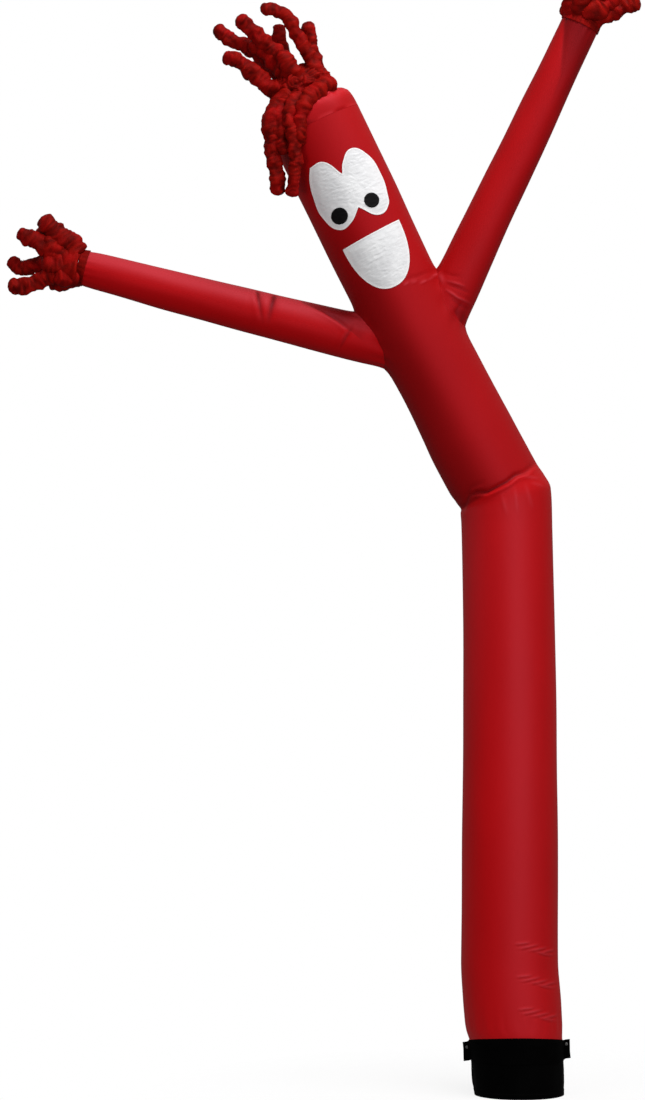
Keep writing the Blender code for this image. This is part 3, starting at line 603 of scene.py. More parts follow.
def bodyPlace(turn, share):
    s = bodyRows[round(share * (len(bodyRows) - 1))]
    turn = frontwards(turn, body["denser"])
    angle = seamAngle(turn)
    centre, across, axis, radius = bodyTube.at(s)
    out = outwards(across, angle)
    point = centre + out * radius
    lift, shade, shine = bodyLift(point, s, angle)
    seam = min(turn, 1 - turn) * math.tau * radius
    lift += body["seamRidge"] * hump(seam, body["seamWidth"])
    for tube in armTubes.values() if isBetween(point.z, body["shoulders"]) else ():
        gap, station, turned = tube.outside(point)
        if gap < body["rootSpan"] and station > 0:
            near = math.exp(-max(0.0, gap) / body["rootReach"])
            lift += body["rootFillet"] * math.exp(-max(0.0, gap) / body["filletReach"])
            lift += body["rootPucker"] * rootFolds(turned) * near * ramp(gap, -0.01, 0.012)
            seam = min(seam, max(0.0, gap))
    # the upper tube is cut from a deeper red, and starts in the waist's fold; painted shade makes its left side
    # darker still
    x, z, slope = body["deepFrom"]
    deep = ramp(point.z - z - slope * (point.x - x), -0.010, 0.012)
    leftwards = ramp(-math.cos(angle), -0.15, 0.55) * (1 - ramp(point.z, 4.1, 4.7))
    deep *= body["deepRight"] + (body["deepLeft"] - body["deepRight"]) * leftwards
    # painted shade: the lower tube made darker towards its foot
    deep += body["deepFoot"] * (1 - ramp(s, 0.4, 1.6))
    # painted highlights: two pink strips down the lower tube
    below = 1 - ramp(s, 2.85, 2.95)
    for glare, middle in ((body["glare"], 78), (body["sideGlare"] * ramp(s, 1.2, 2.8), 140)):
        shine += glare * hump(math.remainder(angle + math.radians(middle), math.tau), 0.45) * below
    flat = (turn * math.tau * body["cutRadius"], s)
    return point + out * lift, flat, (seam, min(1.0, shade), deep, min(1.0, shine))


def cutArmHoles(bm):
    inside = []
    for face in bm.faces:
        middle = face.calc_center_median()
        if isBetween(middle.z, body["shoulders"]):
            places = [tube.outside(middle) for tube in armTubes.values()]
            if any(gap < -body["holeInset"] and station > 0.05 for gap, station, _ in places):
                inside.append(face)
    bmesh.ops.delete(bm, geom=inside, context="FACES")


def armRoot(tube, angle):
    # the station where this line of the arm comes out through the body's skin
    def isOut(s):
        centre, across, axis, radius = tube.at(s)
        return bodyTube.outside(centre + outwards(across, angle) * radius)[0] > -arms["seamDepth"]

    step = arms["rootStep"]
    high = next(i * step for i in range(1, 200) if isOut(i * step))
    low = high - step
    for _ in range(7):
        middle = 0.5 * (low + high)
        low, high = (low, middle) if isOut(middle) else (middle, high)
    return high


def addArm(side, material):
    arm, tube = arms[side], armTubes[side]
    sides = arms["sides"]
    roots = [armRoot(tube, seamAngle(frontwards(i / sides, arms["denser"]))) for i in range(sides)]

    def place(turn, share):
        root = roots[round(turn * sides) % sides]
        turn = frontwards(turn, arms["denser"])
        angle = seamAngle(turn)
        s = root + (tube.length - root) * (0.35 * share**1.7 + 0.65 * share)
        centre, across, axis, radius = tube.at(s)
        out = outwards(across, angle)
        point = centre + out * radius
        past, left = s - root, tube.length - s
        lift = arms["unevenness"] * ringNoise(angle, 1.5, s * 4 + 7)
        lift += arms["flare"] * math.exp(-past / arms["flareReach"])
        lift += arms["pucker"] * rootFolds(angle) * math.exp(-past / arms["puckerReach"]) * ramp(past, 0.0, 0.02)
        gather = 0.7 * math.cos(16 * angle) + ringNoise(angle, 6, s * 4)
        lift += arms["wristGather"] * gather * math.exp(-left / arms["wristReach"])
        # the back has the same folds, moved along and shallower
        seen = point if point.y < 0 else Vector((point.x - arms["backShift"], 0, point.z))
        strength = (1.0 if point.y < 0 else arms["backShare"]) * ramp(abs(point.y), 0.004, 0.05)
        raised, shade, shine = creasesLift(seen, arm["creases"])
        shade = min(1.0, shade * strength)
        # painted highlight along the top of the arm and on its ridges, kept out of the painted shade
        paintedHighlight = arm["paintedHighlight"] * ramp(out.z, 0.0, 0.8) * (1 - shade) + shine * strength
        # painted shade: darker on the arm's underside
        deep = arm["deep"] + arm["under"] * ramp(-out.z, 0.0, 0.9)
        layers = (min(past, min(turn, 1 - turn) * math.tau * radius), shade, deep, min(1.0, paintedHighlight))
        return point + out * (lift + raised * strength), (turn * math.tau * 0.12, s), layers

    piece = finished(side + "Arm", rolledCloth(sides, arms["rows"], place), material, "nylon_red", "arm_" + side,
                     arms["wall"])
    length = tube.length - sum(roots) / sides
    round(math.tau * arms["cutRadius"], 2)


redCloth = redNylon()
bodyRows = spacedRows(bodyTube.length, body["spacing"])
bodyMesh = rolledCloth(body["sides"], len(bodyRows) - 1, bodyPlace)
skinTree = BVHTree.FromBMesh(bodyMesh)
cutArmHoles(bodyMesh)
bodyCloth = finished("bodyCloth", bodyMesh, redCloth, "nylon_red", "body_tube", body["wall"])
for side in ("left", "right"):
    addArm(side, redCloth)
print("tube and arms made")

cap = {
    "height": 0.145, "power": 3.5, "skirt": 0.004, "skirtRows": 3, "skirtLift": 0.0004, "sides": 128, "rows": 60,
    "pucker": 0.0036, "puckers": 33, "sag": 0.004, "rim": 0.125, "rimReach": 0.030, "rimFurrow": 0.0022,
    "paintedHighlight": 0.30, "wall": 0.0012,
}


def capPlace(turn, share):
    centre, across, axis, radius = bodyTube.at(bodyTube.length)
    angle = seamAngle(turn)
    out = outwards(across, angle)
    radius += unevenness(bodyTube.length, angle)
    skirt = cap["skirtRows"] / cap["rows"]
    if share < skirt:
        drop, wide = cap["skirt"] * (1 - share / skirt), radius + cap["skirtLift"]
        flat = (turn * math.tau * body["cutRadius"], -drop)
        return centre + out * wide - axis * drop, flat, (0.1, 0.0, body["deepRight"], 0.0)
    rise = 0.5 * math.pi * (share - skirt) / (1 - skirt)
    wide = (radius + cap["skirtLift"]) * abs(math.cos(rise)) ** (2 / cap["power"]) if share < 1 else 0.0
    tall = cap["height"] * math.sin(rise) ** (2 / cap["power"])
    past = tall + (radius - wide)
    normal = (out * math.cos(rise) + axis * math.sin(rise)).normalized()
    ripple = math.cos(cap["puckers"] * angle + 1.5 * math.sin(3 * angle)) + noise.noise(out * 7)
    sag = cap["sag"] * noise.noise(out * 2.0 + axis * share * 3)
    beyond = past - cap["rim"]
    lift = cap["pucker"] * ripple * hump(beyond, cap["rimReach"]) + sag * ramp(wide, 0, 0.05)
    lift -= cap["rimFurrow"] * hump(beyond, 0.006)
    # painted shade in the crevices of the rim's puckers
    shade = 0.5 * hump(beyond, 0.005) * max(0.0, ripple)
    deep = body["deepRight"] * (1 - ramp(past, 0.03, 0.13))
    # painted highlight over the crown's top
    layers = (abs(beyond), shade, deep, cap["paintedHighlight"] * ramp(past, 0.06, 0.14))
    return centre + out * wide + axis * tall + normal * lift, (turn * math.tau * wide, past), layers


capMesh = rolledCloth(cap["sides"], cap["rows"], capPlace)
crownCap = finished("crownCap", capMesh, redCloth, "nylon_red", "head_cap", cap["wall"])
print("crown made")

face = {
    "datum": Vector((-1.08, 0.0, 5.061)), "lean": 25.75,
    "curve": 1.12,  # a patch's flat width over its outline's width, for the head's curve; worked out in addPatch and left unused
    "grid": 0.0036, "lift": 0.0006, "pupilLift": 0.0004, "pillow": 0.0024, "hem": 0.0010, "hemWidth": 0.004,
    "wrinkle": 0.0014, "wall": 0.0010, "eyeSlant": -0.30, "arcSteps": 48,
    # across and down, and 1 at a sharp corner
    "eyes": ((0.012, 0.338, 1), (0.045, 0.28, 0), (0.111, 0.238, 0), (0.175, 0.297, 0), (0.196, 0.425, 0),
             (0.182, 0.523, 0), (0.16, 0.582, 0), (0.1, 0.611, 0), (0.013, 0.53, 1), (-0.055, 0.585, 0),
             (-0.118, 0.593, 0), (-0.174, 0.49, 0), (-0.172, 0.385, 0), (-0.151, 0.29, 0), (-0.122, 0.236, 1),
             (-0.054, 0.237, 0)),
    "pupils": {"Left": (-0.0927, 0.5265, 0.043), "Right": (0.0909, 0.5248, 0.039)},  # across, down, radius
    "mouthCentre": (0.0119, 0.679), "mouthHalfWidth": 0.164, "mouthDepth": 0.298, "mouthPower": 2.2,
    "mouthTilt": 0.049,
}


def smoothOutline(rows):
    # a closed curve through the rows, with straight tangents at its corners
    curve = bpy.data.curves.new("outline", "CURVE")
    curve.resolution_u = 10
    spline = curve.splines.new("BEZIER")
    spline.bezier_points.add(len(rows) - 1)
    spline.use_cyclic_u = True
    for point, (across, down, corner) in zip(spline.bezier_points, rows):
        point.co = (across, -down, 0)
        point.handle_left_type = point.handle_right_type = "VECTOR" if corner else "AUTO"
    holder = bpy.data.objects.new("outline", curve)
    bpy.context.scene.collection.objects.link(holder)
    bpy.context.view_layer.update()
    mesh = holder.to_mesh()
    points = [Vector(vert.co.xy) for vert in mesh.vertices]
    holder.to_mesh_clear()
    bpy.data.objects.remove(holder)
    bpy.data.curves.remove(curve)
    return [a for a, b in zip(points, points[1:] + points[:1]) if (a - b).length > 0.0004]


def rimDistance(point, outline):
    best, run, total = 1e9, 0.0, 0.0
    for a, b in zip(outline, outline[1:] + outline[:1]):
        side = b - a
        t = min(1.0, max(0.0, (point - a).dot(side) / side.length_squared))
        gap = (point - a - side * t).length
        if gap < best:
            best, run = gap, total + side.length * t
        total += side.length
    return best, run


def cutCloth(outline):
    # the outline's face, cut both ways into small squares
    bm = bmesh.new()
    bm.faces.new([bm.verts.new((point.x, point.y, 0)) for point in outline])
    for axis, normal in enumerate((Vector((1, 0, 0)), Vector((0, 1, 0)))):
        low = min(point[axis] for point in outline)
        high = max(point[axis] for point in outline)
        for step in range(1, int((high - low) / face["grid"])):
            geometry = bm.verts[:] + bm.edges[:] + bm.faces[:]
            at = normal * (low + step * face["grid"])
            bmesh.ops.bisect_plane(bm, geom=geometry, dist=0.0002, plane_co=at, plane_no=normal)
    if sum(f.normal.z for f in bm.faces) < 0:
        bmesh.ops.reverse_faces(bm, faces=bm.faces)
    return bm


def wrinkleAt(flat, slant):
    # sharp little ridges that run across the face
    course = flat.x * math.cos(slant) + flat.y * math.sin(slant)
    over = flat.y * math.cos(slant) - flat.x * math.sin(slant)
    bend = 1.5 * noise.noise(Vector((course * 24, over * 10, 1)))
    wave = noise.noise(Vector((course * 17, over * 56 + bend, 3)))
    return 0.45 - 1.3 * abs(wave) ** 0.8 + 0.9 * noise.noise(Vector((course * 45, over * 85, 8)))


def addPatch(name, node, outline, material, slot, under, tree, lift, pillow, slant=0.0):
    bm = cutCloth(outline)
    weaveLayer = bm.loops.layers.uv.new("cloth")
    edgeLayer = bm.verts.layers.float.new("edge")
    runLayer = bm.verts.layers.float.new("run")
    lean = Matrix.Rotation(-math.radians(face["lean"]), 4, "Y") @ Matrix.Rotation(math.radians(90), 4, "X")
    place = Matrix.Translation(face["datum"]) @ lean
    for vert in bm.verts:
        flat = vert.co.xy
        edge, run = rimDistance(flat, outline)
        vert[edgeLayer], vert[runLayer] = edge, run
        for loop in vert.link_loops:
            loop[weaveLayer].uv = flat
        start = place @ vert.co
        start.y = -1.0
        hit, normal, _, _ = tree.ray_cast(start, Vector((0, 1, 0)))
        rise = lift + face["wall"] + face["hem"] * hump(edge - 0.005, face["hemWidth"])
        if pillow:
            rise += pillow * ramp(edge, 0.0, 0.05)
            rise += face["wrinkle"] * wrinkleAt(flat, slant) * ramp(edge, 0.006, 0.03)
        vert.co = hit + normal * rise
    piece = finished(name, bm, material, slot, node, face["wall"])
    wide, tall = [max(p[axis] for p in outline) - min(p[axis] for p in outline) for axis in (0, 1)]
    area = abs(sum(a.x * b.y - a.y * b.x for a, b in zip(outline, outline[1:] + outline[:1]))) / 2
    round(wide * face["curve"], 3)
    return piece


def treeOf(piece):
    bm = bmesh.new()
    bm.from_mesh(piece.data)
    tree = BVHTree.FromBMesh(bm)
    bm.free()
    return tree


def mouthOutline():
    (middle, top), power, outline = face["mouthCentre"], 2 / face["mouthPower"], []
    for step in range(face["arcSteps"] + 1):
        turn = math.pi * step / face["arcSteps"]
        across = face["mouthHalfWidth"] * math.copysign(abs(math.cos(turn)) ** power, math.cos(turn))
        down = face["mouthDepth"] * abs(math.sin(turn)) ** power - face["mouthTilt"] * across
        outline.append(Vector((middle + across, -top - down)))
    return outline


def pupilOutline(across, down, radius):
    turns = [math.tau * i / face["arcSteps"] for i in range(face["arcSteps"])]
    return [Vector((across + radius * math.cos(turn), -down + radius * math.sin(turn))) for turn in turns]


satinCloth, pupilCloth = whiteSatin(), blackNylon()
onSkin = (satinCloth, "nylon_white", "bodyCloth", skinTree, face["lift"], face["pillow"])
eyePatch = addPatch("eyePatch", "eyes", smoothOutline(face["eyes"]), *onSkin, face["eyeSlant"])
addPatch("mouthPatch", "mouth", mouthOutline(), *onSkin)
eyeTree = treeOf(eyePatch)
for side, row in face["pupils"].items():
    addPatch("pupil" + side, "pupil_" + side.lower(), pupilOutline(*row), pupilCloth, "nylon_black", "eyePatch",
             eyeTree, face["pupilLift"], 0.0)
print("face made")

fringe = {
    "around": 30, "step": 0.0050, "fullness": 1.16, "lump": 0.40, "lumpPitch": 0.042,
    "pleat": 0.13, "pleatPitch": 0.014, "furrow": 0.10, "furrowPitch": 0.05,
    "baseSwell": 1.50, "baseReach": 0.11, "tipTaper": 0.96,
    # each strand is its radius and the points it runs through
    "hair": (
        (0.03, ((-1.05, -0.03, 5.24), (-1.075, -0.03, 5.36), (-1.123, -0.03, 5.445), (-1.165, -0.03, 5.525),
                (-1.2, -0.03, 5.59), (-1.255, -0.03, 5.628), (-1.347, -0.03, 5.646))),
        (0.034, ((-0.99, 0.0, 5.205), (-1.037, 0.0, 5.28), (-1.062, 0.0, 5.37), (-1.082, 0.01, 5.46),
                 (-1.101, 0.02, 5.58))),
        (0.03, ((-1.17, 0.04, 5.25), (-1.225, 0.05, 5.4), (-1.247, 0.06, 5.49), (-1.246, 0.06, 5.572))),
        (0.034, ((-1.16, -0.04, 5.26), (-1.25, -0.05, 5.385), (-1.335, -0.06, 5.475), (-1.41, -0.07, 5.545),
                 (-1.466, -0.08, 5.592))),
        (0.034, ((-1.18, 0.02, 5.24), (-1.31, 0.03, 5.385), (-1.42, 0.05, 5.45), (-1.5, 0.06, 5.49),
                 (-1.588, 0.06, 5.556))),
        (0.034, ((-1.18, -0.05, 5.2), (-1.29, -0.07, 5.222), (-1.37, -0.09, 5.288), (-1.45, -0.1, 5.358),
                 (-1.54, -0.12, 5.38))),
        (0.034, ((-1.2, -0.1, 5.16), (-1.262, -0.17, 5.1), (-1.288, -0.19, 5.03), (-1.282, -0.19, 4.9),
                 (-1.262, -0.18, 4.77), (-1.25, -0.17, 4.655))),
        (0.03, ((-1.16, -0.12, 5.17), (-1.19, -0.22, 5.08), (-1.175, -0.24, 4.95), (-1.158, -0.24, 4.86),
                (-1.168, -0.22, 4.76), (-1.18, -0.2, 4.645))),
        (0.032, ((-1.16, 0.1, 5.18), (-1.27, 0.2, 5.1), (-1.29, 0.23, 4.96), (-1.26, 0.24, 4.82))),
        (0.032, ((-1.14, 0.06, 5.22), (-1.22, 0.13, 5.32), (-1.36, 0.19, 5.36), (-1.44, 0.22, 5.31))),
        (0.036, ((-1.17, -0.03, 5.24), (-1.25, -0.03, 5.34), (-1.33, -0.02, 5.42), (-1.4, -0.01, 5.47))),
        (0.036, ((-1.12, -0.06, 5.24), (-1.19, -0.09, 5.32), (-1.25, -0.09, 5.41))),
        (0.034, ((-1.19, -0.09, 5.17), (-1.235, -0.16, 5.11), (-1.24, -0.2, 5.02), (-1.232, -0.2, 4.93),
                 (-1.225, -0.2, 4.86))),
        (0.034, ((-0.985, -0.11, 5.235), (-1.05, -0.18, 5.19), (-1.118, -0.23, 5.118), (-1.14, -0.24, 5.0),
                 (-1.148, -0.225, 4.9))),
    ),
    "leftHand": (
        (0.046, ((-2.303, -0.02, 4.35), (-2.35, -0.03, 4.415), (-2.42, -0.03, 4.485), (-2.482, -0.03, 4.56))),
        (0.036, ((-2.303, 0.04, 4.335), (-2.41, 0.06, 4.42), (-2.515, 0.06, 4.5))),
        (0.036, ((-2.303, -0.04, 4.31), (-2.42, -0.06, 4.375), (-2.52, -0.07, 4.435), (-2.605, -0.07, 4.475))),
        (0.033, ((-2.303, 0.01, 4.3), (-2.47, 0.02, 4.325), (-2.58, 0.025, 4.295), (-2.662, 0.02, 4.335))),
        (0.034, ((-2.303, -0.03, 4.265), (-2.43, -0.05, 4.255), (-2.535, -0.06, 4.205), (-2.655, -0.07, 4.19))),
        (0.036, ((-2.303, 0.03, 4.252), (-2.37, 0.05, 4.228), (-2.45, 0.07, 4.228))),
        (0.034, ((-2.303, -0.05, 4.25), (-2.345, -0.07, 4.235), (-2.42, -0.08, 4.232))),
        (0.04, ((-2.303, -0.04, 4.325), (-2.37, -0.06, 4.345), (-2.44, -0.06, 4.4), (-2.47, -0.05, 4.45))),
        (0.04, ((-2.303, -0.05, 4.285), (-2.38, -0.07, 4.3), (-2.48, -0.06, 4.33))),
        (0.038, ((-2.303, 0.05, 4.29), (-2.39, 0.06, 4.3), (-2.49, 0.05, 4.34))),
    ),
    "rightHand": (
        (0.036, ((0.362, -0.02, 5.6), (0.43, -0.04, 5.605), (0.52, -0.05, 5.635), (0.622, -0.06, 5.685))),
        (0.036, ((0.358, 0.03, 5.6), (0.45, 0.05, 5.65), (0.56, 0.07, 5.735))),
        (0.038, ((0.35, -0.04, 5.605), (0.4, -0.07, 5.69), (0.47, -0.08, 5.788))),
        (0.036, ((0.335, 0.04, 5.608), (0.355, 0.06, 5.705), (0.345, 0.07, 5.81))),
        (0.036, ((0.312, -0.03, 5.616), (0.272, -0.05, 5.652), (0.262, -0.06, 5.72), (0.24, -0.07, 5.77))),
        (0.032, ((0.3, 0.02, 5.625), (0.262, 0.04, 5.635), (0.23, 0.06, 5.668))),
        (0.04, ((0.356, -0.05, 5.603), (0.385, -0.07, 5.625), (0.455, -0.06, 5.665), (0.5, -0.05, 5.72))),
        (0.04, ((0.328, -0.05, 5.612), (0.32, -0.08, 5.66), (0.33, -0.08, 5.73))),
    ),
    "headingCentre": (-1.15, -0.01, 5.215), "headingHalf": (0.155, 0.13, 0.12), "headingGrid": (110, 64),
    "bandGrid": (72, 12), "band": (-0.012, 0.03), "bandLift": 0.0062, "bandRipple": 0.0022,
    "bandFlare": 0.005, "bandThick": 0.0025, "fill": 0.35,
}


def smoothPath(points, step):
    points = [Vector(p) for p in points]
    ends = [2 * points[0] - points[1], *points, 2 * points[-1] - points[-2]]
    dense = []
    for a, b, c, d in zip(ends, ends[1:], ends[2:], ends[3:]):
        for i in range(40):
            t = i / 40
            bend = (c - a) * t + (2 * a - 5 * b + 4 * c - d) * t**2 + (3 * b - a - 3 * c + d) * t**3
            dense.append(0.5 * (2 * b + bend))
    dense.append(points[-1])
    lengths = runningLengths((b - a).length for a, b in zip(dense, dense[1:]))
    count, even, k = max(8, round(lengths[-1] / step)), [], 0
    for i in range(count + 1):
        want = lengths[-1] * i / count
        while k < len(lengths) - 2 and lengths[k + 1] < want:
            k += 1
        even.append(dense[k].lerp(dense[k + 1], (want - lengths[k]) / max(1e-9, lengths[k + 1] - lengths[k])))
    return even, lengths[-1]


def addStrand(bm, radius, points, number):
    path, length = smoothPath(points, fringe["step"])
    # a frame carried along the path, so that the cloth doesn't twist
    frames, side = [], Vector((0.31, 0.87, 0.38))
    for i, place in enumerate(path):
        ahead = (path[min(i + 1, len(path) - 1)] - path[max(i - 1, 0)]).normalized()
        side = (side - ahead * side.dot(ahead)).normalized()
        frames.append((place, side, ahead.cross(side)))
    rows, shift = len(path) - 1, number * 5.3
    bow = radius * fringe["tipTaper"]

    def place(turn, share):
        i = round(share * rows)
        middle, across, up = frames[i]
        s, angle = length * share, math.tau * turn
        ring = Vector((math.cos(angle), math.sin(angle), 0))
        lump = noise.noise(ring * 0.75 + Vector((shift, 0, s / fringe["lumpPitch"])))
        wander = 0.6 * noise.noise(ring * 0.8 + Vector((0, shift, s / fringe["furrowPitch"])))
        pleat = noise.noise(ring * 1.1 + Vector((3, shift, s / fringe["pleatPitch"] + 2 * wander)))
        furrow = noise.noise(ring * 2.3 + Vector((shift, 9, s / fringe["furrowPitch"])))
        shape = 1 + fringe["lump"] * lump + fringe["pleat"] * pleat + fringe["furrow"] * furrow
        shape *= fringe["fullness"]
        swell = (fringe["baseSwell"] - 1) * math.exp(-s / fringe["baseReach"])
        taper = 1 + swell - (1 - fringe["tipTaper"]) * share**2
        left = max(0.0, length - s)
        rounding = math.sqrt(max(0.0, 1 - (1 - min(1.0, left / bow)) ** 2))
        start = math.sqrt(max(0.0, 1 - (1 - min(1.0, s / 0.010)) ** 2))
        wide = radius * taper * shape * rounding * start
        crest = min(1.0, max(0.0, 0.5 + 0.9 * pleat + 0.6 * lump))
        point = middle + (across * math.cos(angle) + up * math.sin(angle)) * wide
        return point, (turn * math.tau * radius, s), (crest,)

    joined(bm, rolledCloth(fringe["around"], rows, place, ("fold",)))


def addHeading(bm):
    lean = Matrix.Rotation(-math.radians(face["lean"]), 3, "Y")

    def place(turn, share):
        angle, rise = math.tau * turn, math.pi * (share - 0.5)
        unit = Vector((math.cos(angle) * math.cos(rise), math.sin(angle) * math.cos(rise), math.sin(rise)))
        knot = noise.noise(unit * 3.1 + Vector((4, 1, 2)))
        fine = math.sin(30 * noise.noise(unit * 1.9 + Vector((1, 7, 3))))
        bulge = 1 + 0.16 * knot + 0.055 * fine
        local = Vector([h * u for h, u in zip(fringe["headingHalf"], unit * bulge)])
        crest = min(1.0, max(0.0, 0.5 + 0.35 * fine + 0.5 * knot))
        return Vector(fringe["headingCentre"]) + lean @ local, (turn * 0.9, share * 0.4), (crest,)

    joined(bm, rolledCloth(*fringe["headingGrid"], place, ("fold",)))


def addBand(bm, tube):
    centre, across, axis, radius = tube.at(tube.length)

    def place(turn, share):
        angle = math.tau * turn
        along = fringe["band"][0] + (fringe["band"][1] - fringe["band"][0]) * share
        out = outwards(across, angle)
        ripple = math.cos(22 * angle + 2 * math.sin(3 * angle)) * 0.6 + noise.noise(out * 5 + axis * along * 30)
        wide = radius + fringe["bandLift"] + fringe["bandRipple"] * ripple - fringe["bandFlare"] * share
        return centre + axis * along + out * wide, (turn * math.tau * radius, along), (0.5 + 0.3 * ripple,)

    band = rolledCloth(*fringe["bandGrid"], place, ("fold",))
    bmesh.ops.solidify(band, geom=band.faces[:], thickness=fringe["bandThick"])
    joined(bm, band)


def addFringe(name, node, bm, strands, shift, material):
    for number, (radius, points) in enumerate(strands):
        addStrand(bm, radius, points, number + shift)
    piece = finished(name, bm, material, "fringe_red", node)


ruched = ruchedNylon()
hairMesh = bmesh.new()
addHeading(hairMesh)
addFringe("hairFringe", "hair", hairMesh, fringe["hair"], 0, ruched)
for side, shift in (("left", 20), ("right", 40)):
    handMesh = bmesh.new()
    addBand(handMesh, armTubes[side])
    addFringe(side + "HandFringe", "hand_fringe_" + side, handMesh, fringe[side + "Hand"], shift, ruched)
print("fringes made")

cuff = {
    "rings": ((0.0, 0.0, 0, 0.2314), (-0.006, 0.073, 0, 0.2375), (-0.01, 0.166, 0, 0.24), (-0.012, 0.2, 0, 0.241),
              (-0.0167, 0.282, 0, 0.2441), (-0.02, 0.3, 0, 0.2468), (-0.0245, 0.33, 0, 0.2513)),
    "top": 0.280, "rise": 0.158, "crest": 0.004, "crestReach": 0.25,  # higher at the front
    "sides": 128, "rows": 70, "wall": 0.0025, "hem": 0.032, "hemLift": 0.0016, "folds": 0.0030,
    "cutRadius": 0.238,
}
cuffTube = Tube(cuff["rings"])
strap = {
    "low": 0.180, "high": 0.279, "thick": 0.003, "gap": 0.0003, "earReach": 0.032, "earTilt": 0.016,
    "corner": 0.010, "steps": 96, "rows": 14, "rounding": 0.0007,
}


def cuffPlace(turn, share):
    angle = seamAngle(turn)
    top = cuff["top"] + cuff["rise"] * max(0.0, cuff["crest"] - cuff["crestReach"] * math.sin(angle))
    s = top * share
    centre, across, axis, radius = cuffTube.at(s)
    ripple = ringNoise(angle, 3.4, s * 5) + 0.5 * math.cos(14 * angle + 2 * math.sin(2 * angle))
    free = ramp(s, 0.02, 0.08) * (1 - ramp(s, strap["low"] - 0.05, strap["low"] - 0.004))
    lift = cuff["folds"] * ripple * free
    lift += cuff["hemLift"] * (1 - ramp(s, cuff["hem"] - 0.003, cuff["hem"] + 0.001))
    lift -= 0.0008 * ramp(s, strap["low"] - 0.006, strap["low"])
    back = min(turn, 1 - turn) * math.tau * radius
    seam = min(abs(s - cuff["hem"] + 0.005), abs(top - s - 0.006), back + 0.003)
    return centre + outwards(across, angle) * (radius + lift), (turn * math.tau * cuff["cutRadius"], s), (seam,)


cuffMesh = rolledCloth(cuff["sides"], cuff["rows"], cuffPlace, ("seam",))
cuffCanvas = finished("cuffCanvas", cuffMesh, blackCanvas(), "canvas_black", "cuff", cuff["wall"])
print("cuff made")


def addStrapHalf(name, node, front, material):
    width = strap["high"] - strap["low"]
    radius = cuffTube.values(strap["low"] + 0.5 * width)[3]
    reach = radius + strap["gap"] + strap["thick"] + strap["earReach"]
    inner = radius + strap["gap"] + 0.5 * strap["thick"]
    offset = 0.5 * (strap["thick"] + strap["gap"])
    corner = strap["corner"]
    path = [Vector((-reach, offset)), Vector((-inner - corner, offset))]
    first = math.asin((offset + corner) / (inner + corner * 0.4))
    path += [Vector((-math.cos(a) * inner, math.sin(a) * inner))
             for a in [first + (math.pi - 2 * first) * i / strap["steps"] for i in range(strap["steps"] + 1)]]
    path += [Vector((inner + corner, offset)), Vector((reach, offset))]
    lengths = runningLengths((b - a).length for a, b in zip(path, path[1:]))

    def place(turn, share):
        i = round(turn * (len(path) - 1))
        at = path[i]
        tilt = 0.5 * strap["earTilt"] * ramp(abs(at.x), radius, radius + 0.02) * (1 if at.x > 0 else -1)
        z = strap["low"] + width * share + tilt
        x, _, _, here = cuffTube.values(z)
        wide = here - radius
        shift = at.normalized() * wide if 0 < i < len(path) - 1 else Vector((math.copysign(wide, at.x), 0))
        spot = at + shift
        return Vector((x + spot.x, front * spot.y, z)), (lengths[i], share * width), ()

    bm = rolledCloth(len(path) - 1, strap["rows"], place, ())
    bmesh.ops.recalc_face_normals(bm, faces=bm.faces)
    bm.faces.ensure_lookup_table()
    if sum(f.normal.y * front for f in bm.faces) < 0:
        bmesh.ops.reverse_faces(bm, faces=bm.faces)
    piece = finished(name, bm, material, "webbing_black", node)
    wall = piece.modifiers.new("wall", "SOLIDIFY")
    wall.thickness, wall.offset = strap["thick"] - 0.0002, 0.0
    edge = piece.modifiers.new("edge", "BEVEL")
    edge.width, edge.segments, edge.limit_method = strap["rounding"], 2, "ANGLE"


rivet = {
    "head": 0.002, "steps": 40,
    # share of the radius, and share of the head's depth below its crown
    "profile": ((0.0, 0.0), (0.3, 0.03), (0.58, 0.12), (0.8, 0.28), (0.93, 0.5), (1.0, 0.74),
                (1.0, 1.0), (0.7, 1.0)),
}


def addRivet(name, node, material):
    low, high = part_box(node)
    centre, half, radius = (low + high) / 2, (high.y - low.y) / 2, (high.x - low.x) / 2
    profile = [(r, half - drop * rivet["head"]) for r, drop in rivet["profile"]]
    bm = bmesh.new()
    verts = [bm.verts.new((r * radius, 0, h)) for r, h in profile + [(r, -h) for r, h in reversed(profile)]]
    edges = [bm.edges.new(pair) for pair in zip(verts, verts[1:])]
    bmesh.ops.spin(bm, geom=verts + edges, axis=(0, 0, 1), cent=(0, 0, 0), angle=math.tau, steps=rivet["steps"],
                   use_merge=True)
    bmesh.ops.remove_doubles(bm, verts=bm.verts, dist=0.00001)
    bmesh.ops.recalc_face_normals(bm, faces=bm.faces)
    upright = Matrix.Translation(centre) @ Matrix.Rotation(math.radians(90), 4, "X")
    bmesh.ops.transform(bm, matrix=upright, verts=bm.verts)
    finished(name, bm, material, "rivet_steel", node)


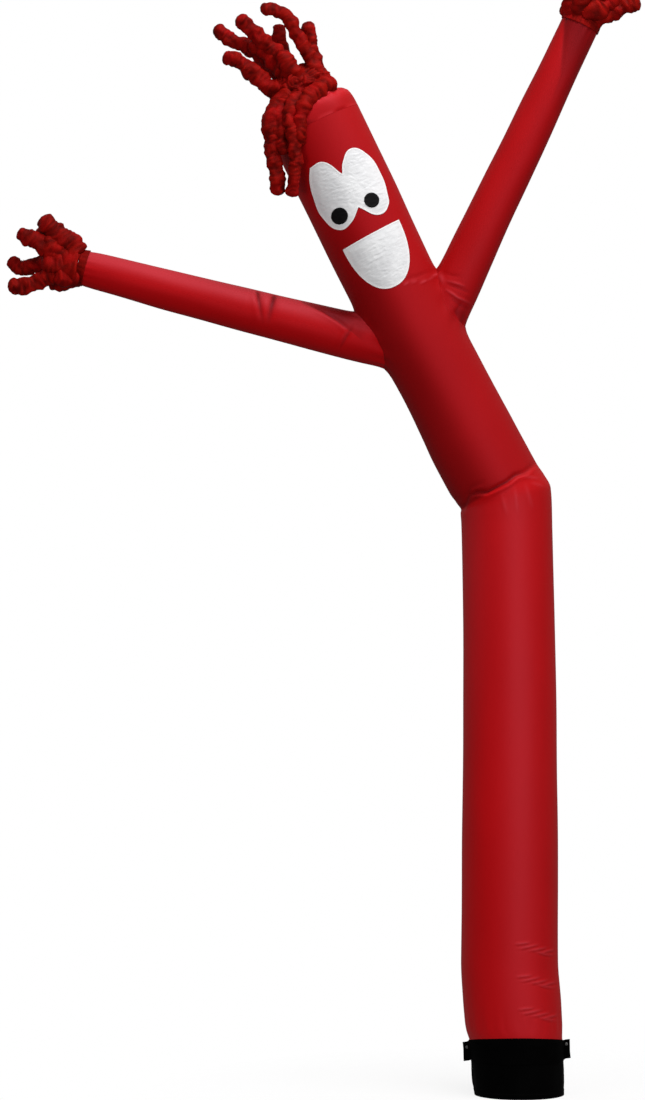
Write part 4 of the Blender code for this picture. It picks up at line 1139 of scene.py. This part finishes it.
webbing, steel = blackWebbing(), dullSteel()
addStrapHalf("strapFront", "strap_front", -1, webbing)
addStrapHalf("strapBack", "strap_back", 1, webbing)
for side in ("left", "right"):
    addRivet("rivet" + side.capitalize(), "rivet_" + side, steel)


def addFloor():
    bm = bmesh.new()
    bmesh.ops.create_circle(bm, cap_ends=True, segments=96, radius=studio["floorRadius"])
    finish = Finish("paleFloor", Emission_Color=(1, 1, 1, 1), Emission_Strength=studio["floorGlow"])
    grain = finish.noise(finish.objectPlace(), 3.0, 3.0)
    tone = finish.coated((0.9, 0.9, 0.9, 1), (grain, (0.94, 0.94, 0.94, 1)))
    reach = finish.node("ShaderNodeVectorMath", {"operation": "LENGTH"}, {0: finish.objectPlace()}, out=1)
    fade = (1 - (reach - studio["floorFade"]) / (studio["floorRadius"] - studio["floorFade"])).clamped()
    finish.feed(finish.shader.inputs["Alpha"], fade * studio["floorShare"])
    mesh = bpy.data.meshes.new("studioFloor")
    bm.to_mesh(mesh)
    bm.free()
    mesh.materials.append(finish.surface(tone, 0.9, grain, 0.0005, 0.2))
    floor = bpy.data.objects.new("studioFloor", mesh)
    bpy.context.scene.collection.objects.link(floor)


def addSky():
    world = bpy.data.worlds.new("studioSky")
    bpy.context.scene.world = world
    world.use_nodes = True
    sky = Nodes(world.node_tree)
    # brighter above than below, as in a studio with a ceiling light, and plain white behind the figure
    heading = sky.node("ShaderNodeTexCoord", out="Generated")
    height = sky.node("ShaderNodeSeparateXYZ", {}, {0: heading}, out="Z")
    level = sky.node("ShaderNodeMapRange", {}, {
        "Value": height, "From Min": studio["skyRange"][0], "From Max": studio["skyRange"][1],
        "To Min": studio["skyBelow"], "To Max": studio["skyAbove"]})
    lit, shown = [sky.node("ShaderNodeBackground", {}, {"Color": (1, 1, 1, 1), "Strength": strength})
                  for strength in (level, 1.0)]
    seen = sky.node("ShaderNodeLightPath", out="Is Camera Ray")
    both = sky.node("ShaderNodeMixShader", {}, {0: seen, 1: lit, 2: shown})
    sky.feed(sky.tree.nodes["World Output"].inputs["Surface"], both)
    sky.tree.nodes.remove(sky.tree.nodes["Background"])


addFloor()
addSky()
bpy.context.scene.view_settings.view_transform = "Standard"
print("floor and sky made")
